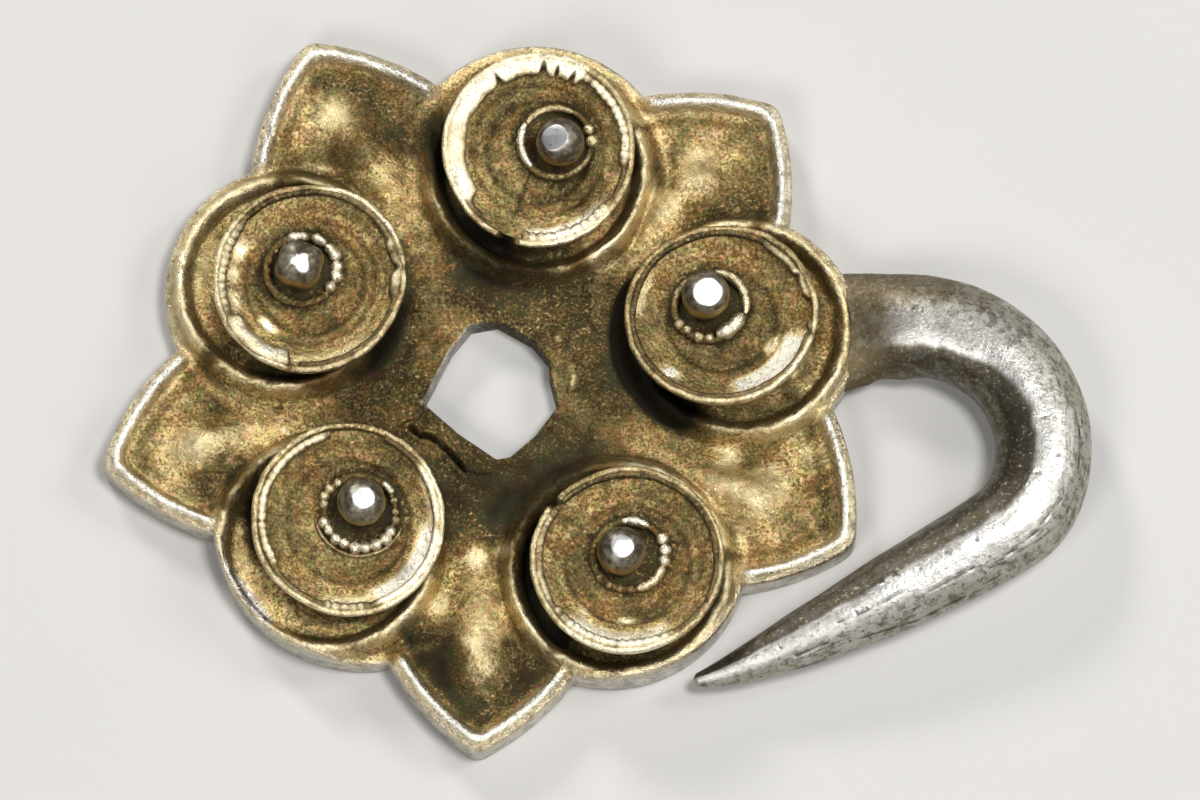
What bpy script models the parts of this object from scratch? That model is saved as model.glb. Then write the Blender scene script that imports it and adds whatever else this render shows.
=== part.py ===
"""A Tudor silver-gilt dress hook, lying on its flat back: a flower plate with five cups, and one hook.

Lengths are in metres and +Z is up. The plan's own centre is the middle of the pierced hole, and the
plan's places are shares of one driving size, PLATE_REACH.
"""

from collections import namedtuple
from math import cos, pi, radians, sin, tan

import bpy
import numpy as np
from mathutils import Vector
from mathutils.geometry import delaunay_2d_cdt

MM = 0.001
SHARP_ANGLE = 40
MERGE_DISTANCE = 0.001 * MM

# The gap left between two pieces where the real ones are soldered together
CLEARANCE = 0.03 * MM

# Plate: its reach to a leaf's point, its face, its edges and its back
PLATE_REACH = 10.0 * MM
PLATE_THICKNESS = 0.80 * MM
EDGE_ROUND = 0.12 * MM
HOLE_EDGE_ROUND = 0.07 * MM
OUTLINE_RAYS = 120
HOLE_RAYS = 24
OUTLINE_SEARCH = (0.55, 1.4)
OUTLINE_HALVINGS = 40
VALLEY_RAYS = 1440

# Triangles of the plate's face: the spacing where it is plain, and the least gap between points
FILL_SPACING = 0.80 * MM
FILL_MARGIN = 1.2
FILL_GAP = 0.42 * MM
POINT_GAP = 0.10 * MM
SAME_POINT = 1e-6

# Leaves: tip angle in degrees, share of the plate's reach, and the half angles of the point on its
# anticlockwise and clockwise sides
Leaf = namedtuple("Leaf", "angle reach left_half right_half")
LEAVES = (
    Leaf(117.3, 1.004, 65.4, 58.5),
    Leaf(45.1, 1.021, 64.4, 63.2),
    Leaf(192.1, 0.99, 58.7, 61.1),
    Leaf(268.1, 0.948, 61.8, 58.3),
    Leaf(335.5, 0.998, 72.2, 57.7),
)
LEAF_SIDE_RADIUS = 6.75 * MM
LEAF_TIP_ROUND = 0.25 * MM
LEAF_BORDER_RISE = 0.42 * MM
LEAF_BORDER_INSET = 0.24 * MM
LEAF_BORDER_HALF_WIDTH = 0.34 * MM
LEAF_BORDER_START = 6.0 * MM
LEAF_BORDER_FADE = 0.9 * MM
LEAF_LINE_POINTS = 12
LEAF_LINE_SWEEP = (-0.05, 0.6)
LEAF_LINE_SHARE = 0.8
BOSS_RISE = 0.55 * MM
BOSS_DISTANCE = 7.25 * MM
BOSS_OUTER_LENGTH = 1.15 * MM
BOSS_INNER_LENGTH = 2.9 * MM
BOSS_HALF_WIDTH = 1.05 * MM
BOSS_LINE_POINTS = 8
BOSS_RING_POINTS = 12
BOSS_RING_SHARES = (0.5, 0.98)

# Sockets: round, with a raised rim, under each cup
SOCKET_RIM_RADIUS = 2.66 * MM
SOCKET_RIM_POINTS = 30
SOCKET_RIM_HALF_WIDTH = 0.32 * MM
SOCKET_RIM_RISE = 0.68 * MM
SOCKET_FLOOR_RISE = 0.06 * MM
SEAT_RISE = 0.17 * MM
SEAT_FILLET = 0.18 * MM
SEAT_POINTS = 16

# Hole: its corners, as angle in degrees and share of the plate's reach
HOLE_CORNERS = (
    (12, 0.151), (25, 0.162), (49, 0.16), (84, 0.171), (107, 0.165), (135, 0.137),
    (194, 0.171), (236, 0.144), (275, 0.186), (286, 0.186), (312, 0.169), (343, 0.176),
)

# Cups, in shares of the plate's reach: the lobe of the outline (x, y, radius), the socket's middle and
# the seat's middle from the socket's. In degrees: the cup's lean towards +X and +Y, and the rim wire's
# start and sweep. In millimetres: the collar's and the pellet's middle on the dish
Cup = namedtuple("Cup", "name lobe socket seat lean collar pellet wire")
CUPS = (
    Cup("top", lobe=(0.112, 0.543, 0.344), socket=(0.118, 0.554), seat=(-0.002, 0.041),
        lean=(3, -5), collar=(0.44, 0.22), pellet=(0.53, 0.10), wire=(258, 334)),
    Cup("left", lobe=(-0.468, 0.238, 0.345), socket=(-0.51, 0.259), seat=(0.064, -0.014),
        lean=(-2, 4), collar=(-0.22, 0.32), pellet=(-0.24, 0.23), wire=(262, 332)),
    Cup("lower_left", lobe=(-0.311, -0.337, 0.379), socket=(-0.405, -0.414), seat=(0.051, 0.053),
        lean=(2, -6), collar=(0.29, 0.24), pellet=(0.32, 0.40), wire=(101, 326)),
    Cup("lower_right", lobe=(0.299, -0.417, 0.344), socket=(0.32, -0.479), seat=(0.026, -0.004),
        lean=(-2, 4), collar=(0.02, 0.24), pellet=(-0.15, 0.15), wire=(143, 346)),
    Cup("right", lobe=(0.627, 0.134, 0.293), socket=(0.623, 0.142), seat=(-0.041, -0.003),
        lean=(-3, 8), collar=(-0.31, 0.39), pellet=(-0.38, 0.44), wire=(12, 344)),
)

# The cup beside the hook
RIGHT_CUP = CUPS[-1]

# Dish of each cup
DISH_RADIUS = 2.41 * MM
DISH_HEIGHT = 1.15 * MM
DISH_FOOT_RADIUS = 1.40 * MM
DISH_FLOOR_HEIGHT = 0.55 * MM
DISH_SLOPE_WIDTH = 0.23 * MM
DISH_LIP = 0.02 * MM
DISH_LIP_ROUND = 0.05 * MM
DISH_RIM_WALL = 0.26 * MM
DISH_WALL_STEPS = 4
DISH_STEPS = 22

# Rim wire, which lies on the dish's ledge
RIM_WIRE_RADIUS = 0.13 * MM
RIM_WIRE_POINTS = 25

# Collar: a ring of beads on the dish's floor
COLLAR_RADIUS = 0.90 * MM
COLLAR_WIRE_RADIUS = 0.14 * MM
COLLAR_WAIST = 0.62
COLLAR_BEADS = 12

# Pellet: a ball on a short stem, inside the collar
PELLET_RADIUS = 0.60 * MM
PELLET_STEM_RADIUS = 0.38 * MM
PELLET_STEM_HEIGHT = 0.20 * MM
PELLET_STEPS = 14
PELLET_ARC_STEPS = 6

# Hook: where round the right-hand lobe its middle line starts, its heading there in degrees, and its
# runs as (share of the plate's reach, turn in degrees)
HOOK_ROOT_ANGLE = 0.6
HOOK_HEADING = 11.7
HOOK_RUNS = (
    (0.158, -15.5), (0.263, -46.6), (0.328, -59.4), (0.133, -38.2), (0.724, -8.8), (0.128, -9.9),
)
HOOK_WIDTH = 2.5 * MM
HOOK_HEIGHT = 2.0 * MM
# Its sections, as the share of its length, a share of its width, and shares of its height for how high
# the section is and how high its middle lies
HOOK_SECTIONS = (
    (0.00, 1.3, 0.67, 0.345), (0.03, 1.152, 0.78, 0.4), (0.07, 1.064, 0.92, 0.475),
    (0.13, 1.012, 1.05, 0.54), (0.21, 0.988, 1.1, 0.565), (0.32, 0.976, 1.1, 0.57),
    (0.44, 0.972, 1.15, 0.59), (0.55, 0.908, 1.1, 0.57), (0.70, 0.788, 0.9, 0.525),
    (0.85, 0.544, 0.6, 0.46), (0.95, 0.308, 0.37, 0.415), (1.00, 0.136, 0.17, 0.39),
)
HOOK_STATIONS = 33
HOOK_SUBSTEPS = 60
HOOK_SIDES = 12
HOOK_ROOT = 0.8 * MM
LOBE_TOOL_STEPS = 128
LOBE_TOOL_DEPTH = 4 * HOOK_HEIGHT

# Tang: the hook's flat end, let into the plate's back under the right-hand lobe
TANG_WIDTH = 1.90 * MM
TANG_LENGTH = 1.70 * MM
TANG_THICKNESS = 0.42 * MM
TANG_LIFT = 0.02 * MM
TANG_OVERLAP = 0.9 * MM

GILT = ("gilt", (0.62, 0.44, 0.17, 1.0), 0.38)
SILVER = ("silver", (0.72, 0.71, 0.67, 1.0), 0.30)


# Small helpers

def mm(values):
    return np.array(values, dtype=float) * MM


def plan(shares):
    """Lengths of the plan from shares of the plate's reach."""
    return np.array(shares, dtype=float) * PLATE_REACH


def smooth_max(a, b, reach):
    """The larger of two values, with the change from one to the other rounded over the reach."""
    share = np.clip(0.5 + 0.5 * (a - b) / reach, 0, 1)
    return b * (1 - share) + a * share + reach * share * (1 - share)


def smooth_step(value):
    value = np.clip(value, 0, 1)
    return value * value * (3 - 2 * value)


def bump(offset):
    """A smooth hump, one high in its middle and level at an offset of one."""
    return np.cos(pi / 2 * np.clip(np.abs(offset), 0, 1)) ** 2


def clear_scene():
    for obj in list(bpy.data.objects):
        bpy.data.objects.remove(obj, do_unlink=True)


def new_collection(name):
    collection = bpy.data.collections.new(name)
    bpy.context.scene.collection.children.link(collection)
    return collection


def new_material(name, colour, roughness):
    material = bpy.data.materials.new(name)
    material.use_nodes = True
    shader = material.node_tree.nodes["Principled BSDF"]
    shader.inputs["Base Color"].default_value = colour
    shader.inputs["Metallic"].default_value = 1.0
    shader.inputs["Roughness"].default_value = roughness
    return material


def add_object(name, data, collection, parent, material=None):
    obj = bpy.data.objects.new(name, data)
    collection.objects.link(obj)
    obj.parent = parent
    if material:
        data.materials.append(material)
    return obj


def mesh_of(name, points, faces):
    mesh = bpy.data.meshes.new(name)
    mesh.from_pydata([tuple(point) for point in points], [], [tuple(face) for face in faces])
    mesh.shade_smooth()
    mesh.set_sharp_from_angle(angle=radians(SHARP_ANGLE))
    return mesh


def cut(target, operation, tool):
    modifier = target.modifiers.new(f"{operation.lower()} {tool.name}", "BOOLEAN")
    modifier.operation = operation
    modifier.solver = "EXACT"
    modifier.object = tool


def hide_tool(tool):
    tool.hide_render = True
    tool.display_type = "WIRE"


# Outline of the plate, as signed distances that are negative inside

def leaf_sides(leaf, x, y):
    """The signed distances to the two arcs that meet in the leaf's point."""
    angle = radians(leaf.angle)
    reach = leaf.reach * PLATE_REACH
    sides = []
    for turn, half in ((1, leaf.left_half), (-1, leaf.right_half)):
        normal = angle + turn * (pi / 2 - radians(half))
        centre_x = reach * cos(angle) - LEAF_SIDE_RADIUS * cos(normal)
        centre_y = reach * sin(angle) - LEAF_SIDE_RADIUS * sin(normal)
        sides.append(np.hypot(x - centre_x, y - centre_y) - LEAF_SIDE_RADIUS)
    return sides


def leaf_distance(leaf, x, y):
    left, right = leaf_sides(leaf, x, y)
    return smooth_max(left, right, LEAF_TIP_ROUND)


def outline_distance(x, y):
    distance = np.full(np.shape(x), np.inf)
    for cup in CUPS:
        lobe_x, lobe_y, radius = plan(cup.lobe)
        distance = np.minimum(distance, np.hypot(x - lobe_x, y - lobe_y) - radius)
    for leaf in LEAVES:
        distance = np.minimum(distance, leaf_distance(leaf, x, y))
    return distance


def outline_radius(angles):
    """How far the outline is from the plan's centre, along each angle."""
    low, high = (np.full(len(angles), reach) for reach in plan(OUTLINE_SEARCH))
    for _ in range(OUTLINE_HALVINGS):
        middle = (low + high) / 2
        outside = outline_distance(middle * np.cos(angles), middle * np.sin(angles)) > 0
        high = np.where(outside, middle, high)
        low = np.where(outside, low, middle)
    return low


def hole_radius(angles):
    """The hole's edge runs straight from corner to corner."""
    corners = np.array([(radians(angle), reach * PLATE_REACH) for angle, reach in HOLE_CORNERS])
    radii = np.empty(len(angles))
    for i, angle in enumerate(np.mod(angles, 2 * pi)):
        after = int(np.searchsorted(corners[:, 0], angle)) % len(corners)
        (angle_a, reach_a), (angle_b, reach_b) = corners[after - 1], corners[after]
        span = sin((angle_b - angle_a) % (2 * pi))
        from_a = sin((angle_b - angle) % (2 * pi)) / reach_a
        from_b = sin((angle - angle_a) % (2 * pi)) / reach_b
        radii[i] = span / (from_a + from_b)
    return radii


# Relief of the plate's face

def seat_place(cup):
    return plan(cup.socket) + plan(cup.seat)


def seat_slope(cup):
    """The seat's rise along +X and +Y: it is square to the leaning cup."""
    return -tan(radians(cup.lean[0])), -tan(radians(cup.lean[1]))


def leaf_relief(leaf, x, y):
    """The leaf's raised border, which fades out towards the hole, and the long boss in its middle."""
    edge = leaf_distance(leaf, x, y)
    border = LEAF_BORDER_RISE * bump((edge + LEAF_BORDER_INSET) / LEAF_BORDER_HALF_WIDTH)
    border = border * smooth_step((np.hypot(x, y) - LEAF_BORDER_START) / LEAF_BORDER_FADE)
    angle = radians(leaf.angle)
    along = x * cos(angle) + y * sin(angle) - BOSS_DISTANCE
    across = y * cos(angle) - x * sin(angle)
    length = np.where(along > 0, BOSS_OUTER_LENGTH, BOSS_INNER_LENGTH)
    boss = BOSS_RISE * bump(np.hypot(along / length, across / BOSS_HALF_WIDTH))
    return np.maximum(border, boss)


def relief(x, y):
    """The height of the plate's face over its back."""
    height = np.full(np.shape(x), PLATE_THICKNESS)
    for leaf in LEAVES:
        height = np.maximum(height, PLATE_THICKNESS + leaf_relief(leaf, x, y))
    for cup in CUPS:
        socket_x, socket_y = plan(cup.socket)
        distance = np.hypot(x - socket_x, y - socket_y)
        inside = smooth_step((SOCKET_RIM_RADIUS - distance) / SOCKET_RIM_HALF_WIDTH)
        height = height * (1 - inside) + (PLATE_THICKNESS + SOCKET_FLOOR_RISE) * inside
    for cup in CUPS:
        socket_x, socket_y = plan(cup.socket)
        distance = np.hypot(x - socket_x, y - socket_y)
        rim = SOCKET_RIM_RISE * bump((distance - SOCKET_RIM_RADIUS) / SOCKET_RIM_HALF_WIDTH)
        height = np.maximum(height, PLATE_THICKNESS + rim)
    for cup in CUPS:
        seat_x, seat_y = seat_place(cup)
        rise_x, rise_y = seat_slope(cup)
        plane = PLATE_THICKNESS + SEAT_RISE + rise_x * (x - seat_x) + rise_y * (y - seat_y)
        beyond = np.hypot(x - seat_x, y - seat_y) - DISH_FOOT_RADIUS - 2 * CLEARANCE
        on_seat = 1 - smooth_step(beyond / SEAT_FILLET)
        height = height * (1 - on_seat) + plane * on_seat
    return height


# Points of the plate's face, laid along the forms that it has to show

def ring(centre, radius, count):
    """Points round a circle, with the first one again at the end."""
    angles = np.arange(count + 1) * 2 * pi / count
    return centre + polar(angles, radius)


def polar(angles, radii):
    return np.stack([radii * np.cos(angles), radii * np.sin(angles)], axis=1)


def merged_angles(evenly, special):
    """Even angles, with the special ones in place of those nearest to them."""
    even = np.arange(evenly) * 2 * pi / evenly
    special = np.mod(special, 2 * pi)
    apart = np.abs((even[:, None] - special[None, :] + pi) % (2 * pi) - pi).min(axis=1)
    return np.sort(np.concatenate([even[apart > 0.5 * pi / evenly], special]))


def valley_angles():
    """The angles where a leaf meets a lobe."""
    angles = np.arange(VALLEY_RAYS) * 2 * pi / VALLEY_RAYS
    radii = outline_radius(angles)
    lowest = (radii < np.roll(radii, 1)) & (radii <= np.roll(radii, -1))
    return angles[lowest]


def leaf_lines(leaf):
    """The lines along the crest and the foot of the leaf's border, on both sides."""
    angle = radians(leaf.angle)
    lines = []
    for turn, half in ((1, leaf.left_half), (-1, leaf.right_half)):
        normal = angle + turn * (pi / 2 - radians(half))
        centre = leaf.reach * PLATE_REACH * np.array([cos(angle), sin(angle)])
        centre = centre - LEAF_SIDE_RADIUS * np.array([cos(normal), sin(normal)])
        for inset in (LEAF_BORDER_INSET, LEAF_BORDER_INSET + LEAF_BORDER_HALF_WIDTH):
            sweep = normal + turn * np.linspace(*LEAF_LINE_SWEEP, LEAF_LINE_POINTS)
            line = centre + polar(sweep, LEAF_SIDE_RADIUS - inset)
            line = line[np.hypot(*line.T) > LEAF_BORDER_START]
            lines.append(line[leaf_distance(leaf, *line.T) < -LEAF_LINE_SHARE * inset])
    return lines


def boss_lines(leaf):
    """The boss's middle line, and two rings round it."""
    angle = radians(leaf.angle)
    along = np.array([cos(angle), sin(angle)])
    across = np.array([-sin(angle), cos(angle)])
    reach = BOSS_DISTANCE + np.linspace(-BOSS_INNER_LENGTH, BOSS_OUTER_LENGTH, BOSS_LINE_POINTS)
    lines = [reach[:, None] * along]
    for share in BOSS_RING_SHARES:
        turn = np.arange(BOSS_RING_POINTS + 1) * 2 * pi / BOSS_RING_POINTS
        length = np.where(np.cos(turn) > 0, BOSS_OUTER_LENGTH, BOSS_INNER_LENGTH)
        offset = np.outer(np.cos(turn) * length, along) + np.outer(np.sin(turn), BOSS_HALF_WIDTH * across)
        lines.append(BOSS_DISTANCE * along + share * offset)
    return lines


def outside_sockets(points):
    keep = np.ones(len(points), bool)
    foot = SOCKET_RIM_RADIUS + SOCKET_RIM_HALF_WIDTH
    for cup in CUPS:
        keep &= np.hypot(*(points - plan(cup.socket)).T) > foot + POINT_GAP
    return keep


def feature_lines():
    """The lines along the sockets and the leaves, each with which of its points to keep."""
    lines = []
    for cup in CUPS:
        for offset in (0, -1, 1):
            radius = SOCKET_RIM_RADIUS + offset * SOCKET_RIM_HALF_WIDTH
            line = ring(plan(cup.socket), radius, SOCKET_RIM_POINTS)
            lines.append((line, np.ones(len(line), bool)))
        seat_edge = DISH_FOOT_RADIUS + 2 * CLEARANCE
        for radius in (seat_edge, seat_edge + SEAT_FILLET):
            line = ring(seat_place(cup), radius, SEAT_POINTS)
            lines.append((line, np.ones(len(line), bool)))
    for leaf in LEAVES:
        for line in leaf_lines(leaf) + boss_lines(leaf):
            lines.append((line, outside_sockets(line)))
    return lines


def fill_points():
    """A plain triangular grid over the rest."""
    points = []
    rows = round(FILL_MARGIN * PLATE_REACH / FILL_SPACING)
    for row in range(-rows, rows + 1):
        for column in range(-rows, rows + 1):
            points.append((column + 0.5 * (row % 2), row * sin(pi / 3)))
    return FILL_SPACING * np.array(points)


class PointSet:
    """Points of the plan that keep a distance from each other, and the edges between them."""

    def __init__(self, loops):
        self.points = np.concatenate(loops)
        self.edges = []
        start = 0
        for loop in loops:
            self.edges += [(start + i, start + (i + 1) % len(loop)) for i in range(len(loop))]
            start += len(loop)

    def add(self, candidate, gap):
        """The candidate's number, or None where another point is too near."""
        if np.hypot(*(self.points - candidate).T).min() < gap:
            return None
        self.points = np.vstack([self.points, candidate])
        return len(self.points) - 1

    def add_line(self, line, keep, gap):
        """Adds the kept points of a line, with an edge between each two neighbours."""
        numbers = [self.add(point, gap) if kept else None for point, kept in zip(line, keep)]
        for first, second in zip(numbers, numbers[1:]):
            if first is not None and second is not None:
                self.edges.append((first, second))


def inside_loop(loop, points):
    """Which points are inside a closed loop, by counting the edges on their right."""
    inside = np.zeros(len(points), bool)
    for (ax, ay), (bx, by) in zip(loop, np.roll(loop, -1, axis=0)):
        crosses = (ay > points[:, 1]) != (by > points[:, 1])
        if ay != by:
            at = ax + (points[:, 1] - ay) * (bx - ax) / (by - ay)
            inside ^= crosses & (points[:, 0] < at)
    return inside


def triangulate(point_set, outer, inner):
    """Triangles between two loops, through the set's points and along its edges.

    Returns the points, with the two loops first, and the faces.
    """
    scaled = [Vector((x / MM, y / MM)) for x, y in point_set.points]
    found, _, faces, origins, _, _ = delaunay_2d_cdt(scaled, point_set.edges, [], 0, SAME_POINT)
    place = {}
    for number, origin in enumerate(origins):
        for source in origin:
            place[source] = number
    loops = [place[i] for i in range(len(outer) + len(inner))]
    order = loops + sorted(set(range(len(found))) - set(loops))
    number_of = {old: new for new, old in enumerate(order)}
    points = np.array([found[i] for i in order]) * MM
    faces = np.array([[number_of[i] for i in face] for face in faces])
    middles = points[faces].mean(axis=1)
    faces = faces[inside_loop(outer, middles) & ~inside_loop(inner, middles)]
    a, b, c = (points[faces[:, i]] for i in range(3))
    turned = (b[:, 0] - a[:, 0]) * (c[:, 1] - a[:, 1]) - (b[:, 1] - a[:, 1]) * (c[:, 0] - a[:, 0]) < 0
    faces[turned] = faces[turned][:, ::-1]
    return points, faces


def with_heights(points, heights):
    return np.column_stack([points, np.broadcast_to(heights, len(points))])


def stitch(lower, upper, count):
    """Quads between two loops of as many points, facing out when the loops run anticlockwise."""
    return [
        (lower + i, lower + (i + 1) % count, upper + (i + 1) % count, upper + i) for i in range(count)
    ]


def well_inside(points):
    """Which points are on the plate's face, clear of its edge and of the hole's."""
    clear = outline_distance(*points.T) < -EDGE_ROUND - POINT_GAP
    angles = np.arctan2(points[:, 1], points[:, 0])
    return clear & (np.hypot(*points.T) > hole_radius(angles) + HOLE_EDGE_ROUND + POINT_GAP)


def plate_mesh():
    tip_angles = np.radians([leaf.angle for leaf in LEAVES])
    rays = merged_angles(OUTLINE_RAYS, np.concatenate([tip_angles, valley_angles()]))
    reach = outline_radius(rays)
    hole_rays = merged_angles(HOLE_RAYS, np.radians([angle for angle, _ in HOLE_CORNERS]))
    bore = hole_radius(hole_rays)
    face_edge = polar(rays, reach - EDGE_ROUND)
    face_hole = polar(hole_rays, bore + HOLE_EDGE_ROUND)
    wall_edge = polar(rays, reach)
    wall_hole = polar(hole_rays, bore)

    face = PointSet([face_edge, face_hole])
    for line, keep in feature_lines():
        face.add_line(line, keep & well_inside(line), POINT_GAP)
    for point in fill_points():
        if well_inside(point[None, :])[0]:
            face.add(point, FILL_GAP)
    face_points, face_faces = triangulate(face, face_edge, face_hole)
    back_edge = polar(rays, reach - EDGE_ROUND)
    back_points, back_faces = triangulate(PointSet([back_edge, wall_hole]), back_edge, wall_hole)

    face_z = relief(*face_points.T)
    outer, inner = len(rays), len(hole_rays)
    points = [with_heights(face_points, face_z)]
    points.append(with_heights(wall_edge, face_z[:outer] - EDGE_ROUND))
    points.append(with_heights(wall_edge, EDGE_ROUND))
    points.append(with_heights(wall_hole, face_z[outer:outer + inner] - HOLE_EDGE_ROUND))
    points.append(with_heights(back_points, 0.0))
    starts = np.cumsum([0] + [len(group) for group in points])
    faces = [tuple(face) for face in face_faces]
    faces += stitch(starts[1], 0, outer)
    faces += stitch(starts[2], starts[1], outer)
    faces += stitch(starts[4], starts[2], outer)
    faces += [face[::-1] for face in stitch(starts[3], outer, inner)]
    faces += [face[::-1] for face in stitch(starts[4] + outer, starts[3], inner)]
    faces += [tuple(starts[4] + face[::-1]) for face in back_faces]
    return mesh_of("plate", np.concatenate(points), faces)


# Hook

def hook_start():
    """The point of the right-hand lobe's edge where the shank begins."""
    lobe_x, lobe_y, radius = plan(RIGHT_CUP.lobe)
    angle = radians(HOOK_ROOT_ANGLE)
    return lobe_x + radius * cos(angle), lobe_y + radius * sin(angle)


def hook_line(count):
    """Even stations along the hook's middle line: the points, headings and shares of the length."""
    lengths = plan([length for length, _ in HOOK_RUNS])
    ends = np.concatenate([[0], np.cumsum(lengths)])
    turns = np.concatenate([[0], np.cumsum([radians(turn) for _, turn in HOOK_RUNS])])
    fine = np.linspace(0, ends[-1], HOOK_SUBSTEPS * (count - 1) + 1)
    headings = radians(HOOK_HEADING) + np.interp(fine, ends, turns)
    steps = np.diff(fine)
    middle = (headings[1:] + headings[:-1]) / 2
    start_x, start_y = hook_start()
    x = start_x + np.concatenate([[0], np.cumsum(steps * np.cos(middle))])
    y = start_y + np.concatenate([[0], np.cumsum(steps * np.sin(middle))])
    pick = slice(None, None, HOOK_SUBSTEPS)
    return np.stack([x, y], axis=1)[pick], headings[pick], (fine / ends[-1])[pick]


def hook_mesh():
    """A loft of ovals along the middle line, begun a little inside the lobe so that it can be cut to it."""
    line, headings, shares = hook_line(HOOK_STATIONS)
    root = line[0] - HOOK_ROOT * np.array([cos(headings[0]), sin(headings[0])])
    line = np.vstack([root, line])
    headings = np.concatenate([headings[:1], headings])
    shares = np.concatenate([[0], shares])
    keys, widths, heights, middles = np.array(HOOK_SECTIONS).T
    rows = (widths * HOOK_WIDTH, heights * HOOK_HEIGHT, middles * HOOK_HEIGHT)
    turn = np.arange(HOOK_SIDES) * 2 * pi / HOOK_SIDES
    points = []
    for (x, y), heading, share in zip(line, headings, shares):
        width, height, middle = (np.interp(share, keys, row) for row in rows)
        across = width / 2 * np.cos(turn)
        rise = height / 2 * np.sin(turn)
        x_points = x + across * sin(heading)
        y_points = y - across * cos(heading)
        points.append(np.stack([x_points, y_points, middle + rise], axis=1))
    faces = []
    for first in range(0, (len(line) - 1) * HOOK_SIDES, HOOK_SIDES):
        faces += [face[::-1] for face in stitch(first, first + HOOK_SIDES, HOOK_SIDES)]
    last = (len(line) - 1) * HOOK_SIDES
    faces.append(tuple(range(HOOK_SIDES)))
    faces.append(tuple(last + i for i in reversed(range(HOOK_SIDES))))
    return mesh_of("hook", np.concatenate(points), faces)


def add_box(name, size, middle, heading, collection, parent):
    bpy.ops.mesh.primitive_cube_add(size=1.0)
    box = bpy.context.object
    box.name = name
    for vertex in box.data.vertices:
        vertex.co = [component * side for component, side in zip(vertex.co, size)]
    box.location = middle
    box.rotation_euler = (0, 0, heading)
    for other in list(box.users_collection):
        other.objects.unlink(box)
    collection.objects.link(box)
    box.parent = parent
    return box


def add_tang(name, grown, collection, parent):
    """The tang's block, or with a positive growth the pocket that it lies in."""
    start_x, start_y = hook_start()
    heading = radians(HOOK_HEADING)
    length = TANG_LENGTH + TANG_OVERLAP + 2 * grown
    top = TANG_LIFT + TANG_THICKNESS + grown
    bottom = -TANG_THICKNESS if grown else TANG_LIFT
    along = (TANG_OVERLAP - TANG_LENGTH) / 2
    middle = (start_x + along * cos(heading), start_y + along * sin(heading), (top + bottom) / 2)
    size = (length, TANG_WIDTH + 2 * grown, top - bottom)
    return add_box(name, size, middle, heading, collection, parent)


def add_lobe_tool(collection, parent):
    """A cylinder a clearance wider than the lobe, which cuts the shank's end to fit against it."""
    lobe_x, lobe_y, radius = plan(RIGHT_CUP.lobe)
    bpy.ops.mesh.primitive_cylinder_add(
        vertices=LOBE_TOOL_STEPS,
        radius=radius + CLEARANCE,
        depth=LOBE_TOOL_DEPTH,
        location=(lobe_x, lobe_y, 0),
    )
    tool = bpy.context.object
    tool.name = "shank end tool"
    for other in list(tool.users_collection):
        other.objects.unlink(tool)
    collection.objects.link(tool)
    tool.parent = parent
    hide_tool(tool)
    return tool


# Cups

def turned(name, profile, steps, collection, parent, material):
    """A turned piece: the profile, from the top of the axis down the outer side, and a Screw."""
    mesh = bpy.data.meshes.new(name)
    edges = [(i, i + 1) for i in range(len(profile) - 1)]
    mesh.from_pydata([(radius, 0, height) for radius, height in profile], edges, [])
    obj = add_object(name, mesh, collection, parent, material)
    screw = obj.modifiers.new("turn", "SCREW")
    screw.steps = steps
    screw.render_steps = steps
    screw.use_merge_vertices = True
    screw.merge_threshold = MERGE_DISTANCE
    screw.use_smooth_shade = True
    return obj


def ledge_height():
    """The ledge is as deep under the lip as the rim wire is thick."""
    return DISH_HEIGHT - DISH_LIP - 2 * RIM_WIRE_RADIUS - CLEARANCE


def dish_profile():
    wall_inside = DISH_RADIUS - DISH_RIM_WALL
    ledge_inside = wall_inside - 2 * RIM_WIRE_RADIUS - 2 * CLEARANCE
    profile = [
        (0, DISH_FLOOR_HEIGHT),
        (ledge_inside - DISH_SLOPE_WIDTH, DISH_FLOOR_HEIGHT),
        (ledge_inside, ledge_height()),
        (wall_inside, ledge_height()),
        (wall_inside, DISH_HEIGHT - DISH_LIP_ROUND),
        (DISH_RADIUS - DISH_RIM_WALL / 2, DISH_HEIGHT),
    ]
    for step in range(DISH_WALL_STEPS, -1, -1):
        share = step / DISH_WALL_STEPS
        radius = DISH_FOOT_RADIUS + (DISH_RADIUS - DISH_FOOT_RADIUS) * sin(share * pi / 2)
        profile.append((radius, share * (DISH_HEIGHT - DISH_LIP_ROUND)))
    return profile + [(0, 0)]


def pellet_profile():
    base = DISH_FLOOR_HEIGHT + CLEARANCE
    middle = base + PELLET_STEM_HEIGHT + (PELLET_RADIUS ** 2 - PELLET_STEM_RADIUS ** 2) ** 0.5
    lowest = pi - np.arcsin(PELLET_STEM_RADIUS / PELLET_RADIUS)
    profile = []
    for step in range(PELLET_ARC_STEPS + 1):
        angle = lowest * step / PELLET_ARC_STEPS
        profile.append((PELLET_RADIUS * sin(angle), middle + PELLET_RADIUS * cos(angle)))
    return profile + [(PELLET_STEM_RADIUS, base), (0, base)]


def add_wire(name, points, radii, wire_radius, collection, parent, material):
    """A round wire along the points, each with its own share of the wire's radius."""
    curve = bpy.data.curves.new(name, "CURVE")
    curve.dimensions = "3D"
    curve.bevel_depth = wire_radius
    curve.bevel_resolution = 1
    curve.use_fill_caps = True
    spline = curve.splines.new("POLY")
    spline.points.add(len(points) - 1)
    for point, place, radius in zip(spline.points, points, radii):
        point.co = (*place, 1)
        point.radius = radius
    return add_object(name, curve, collection, parent, material)


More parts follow.
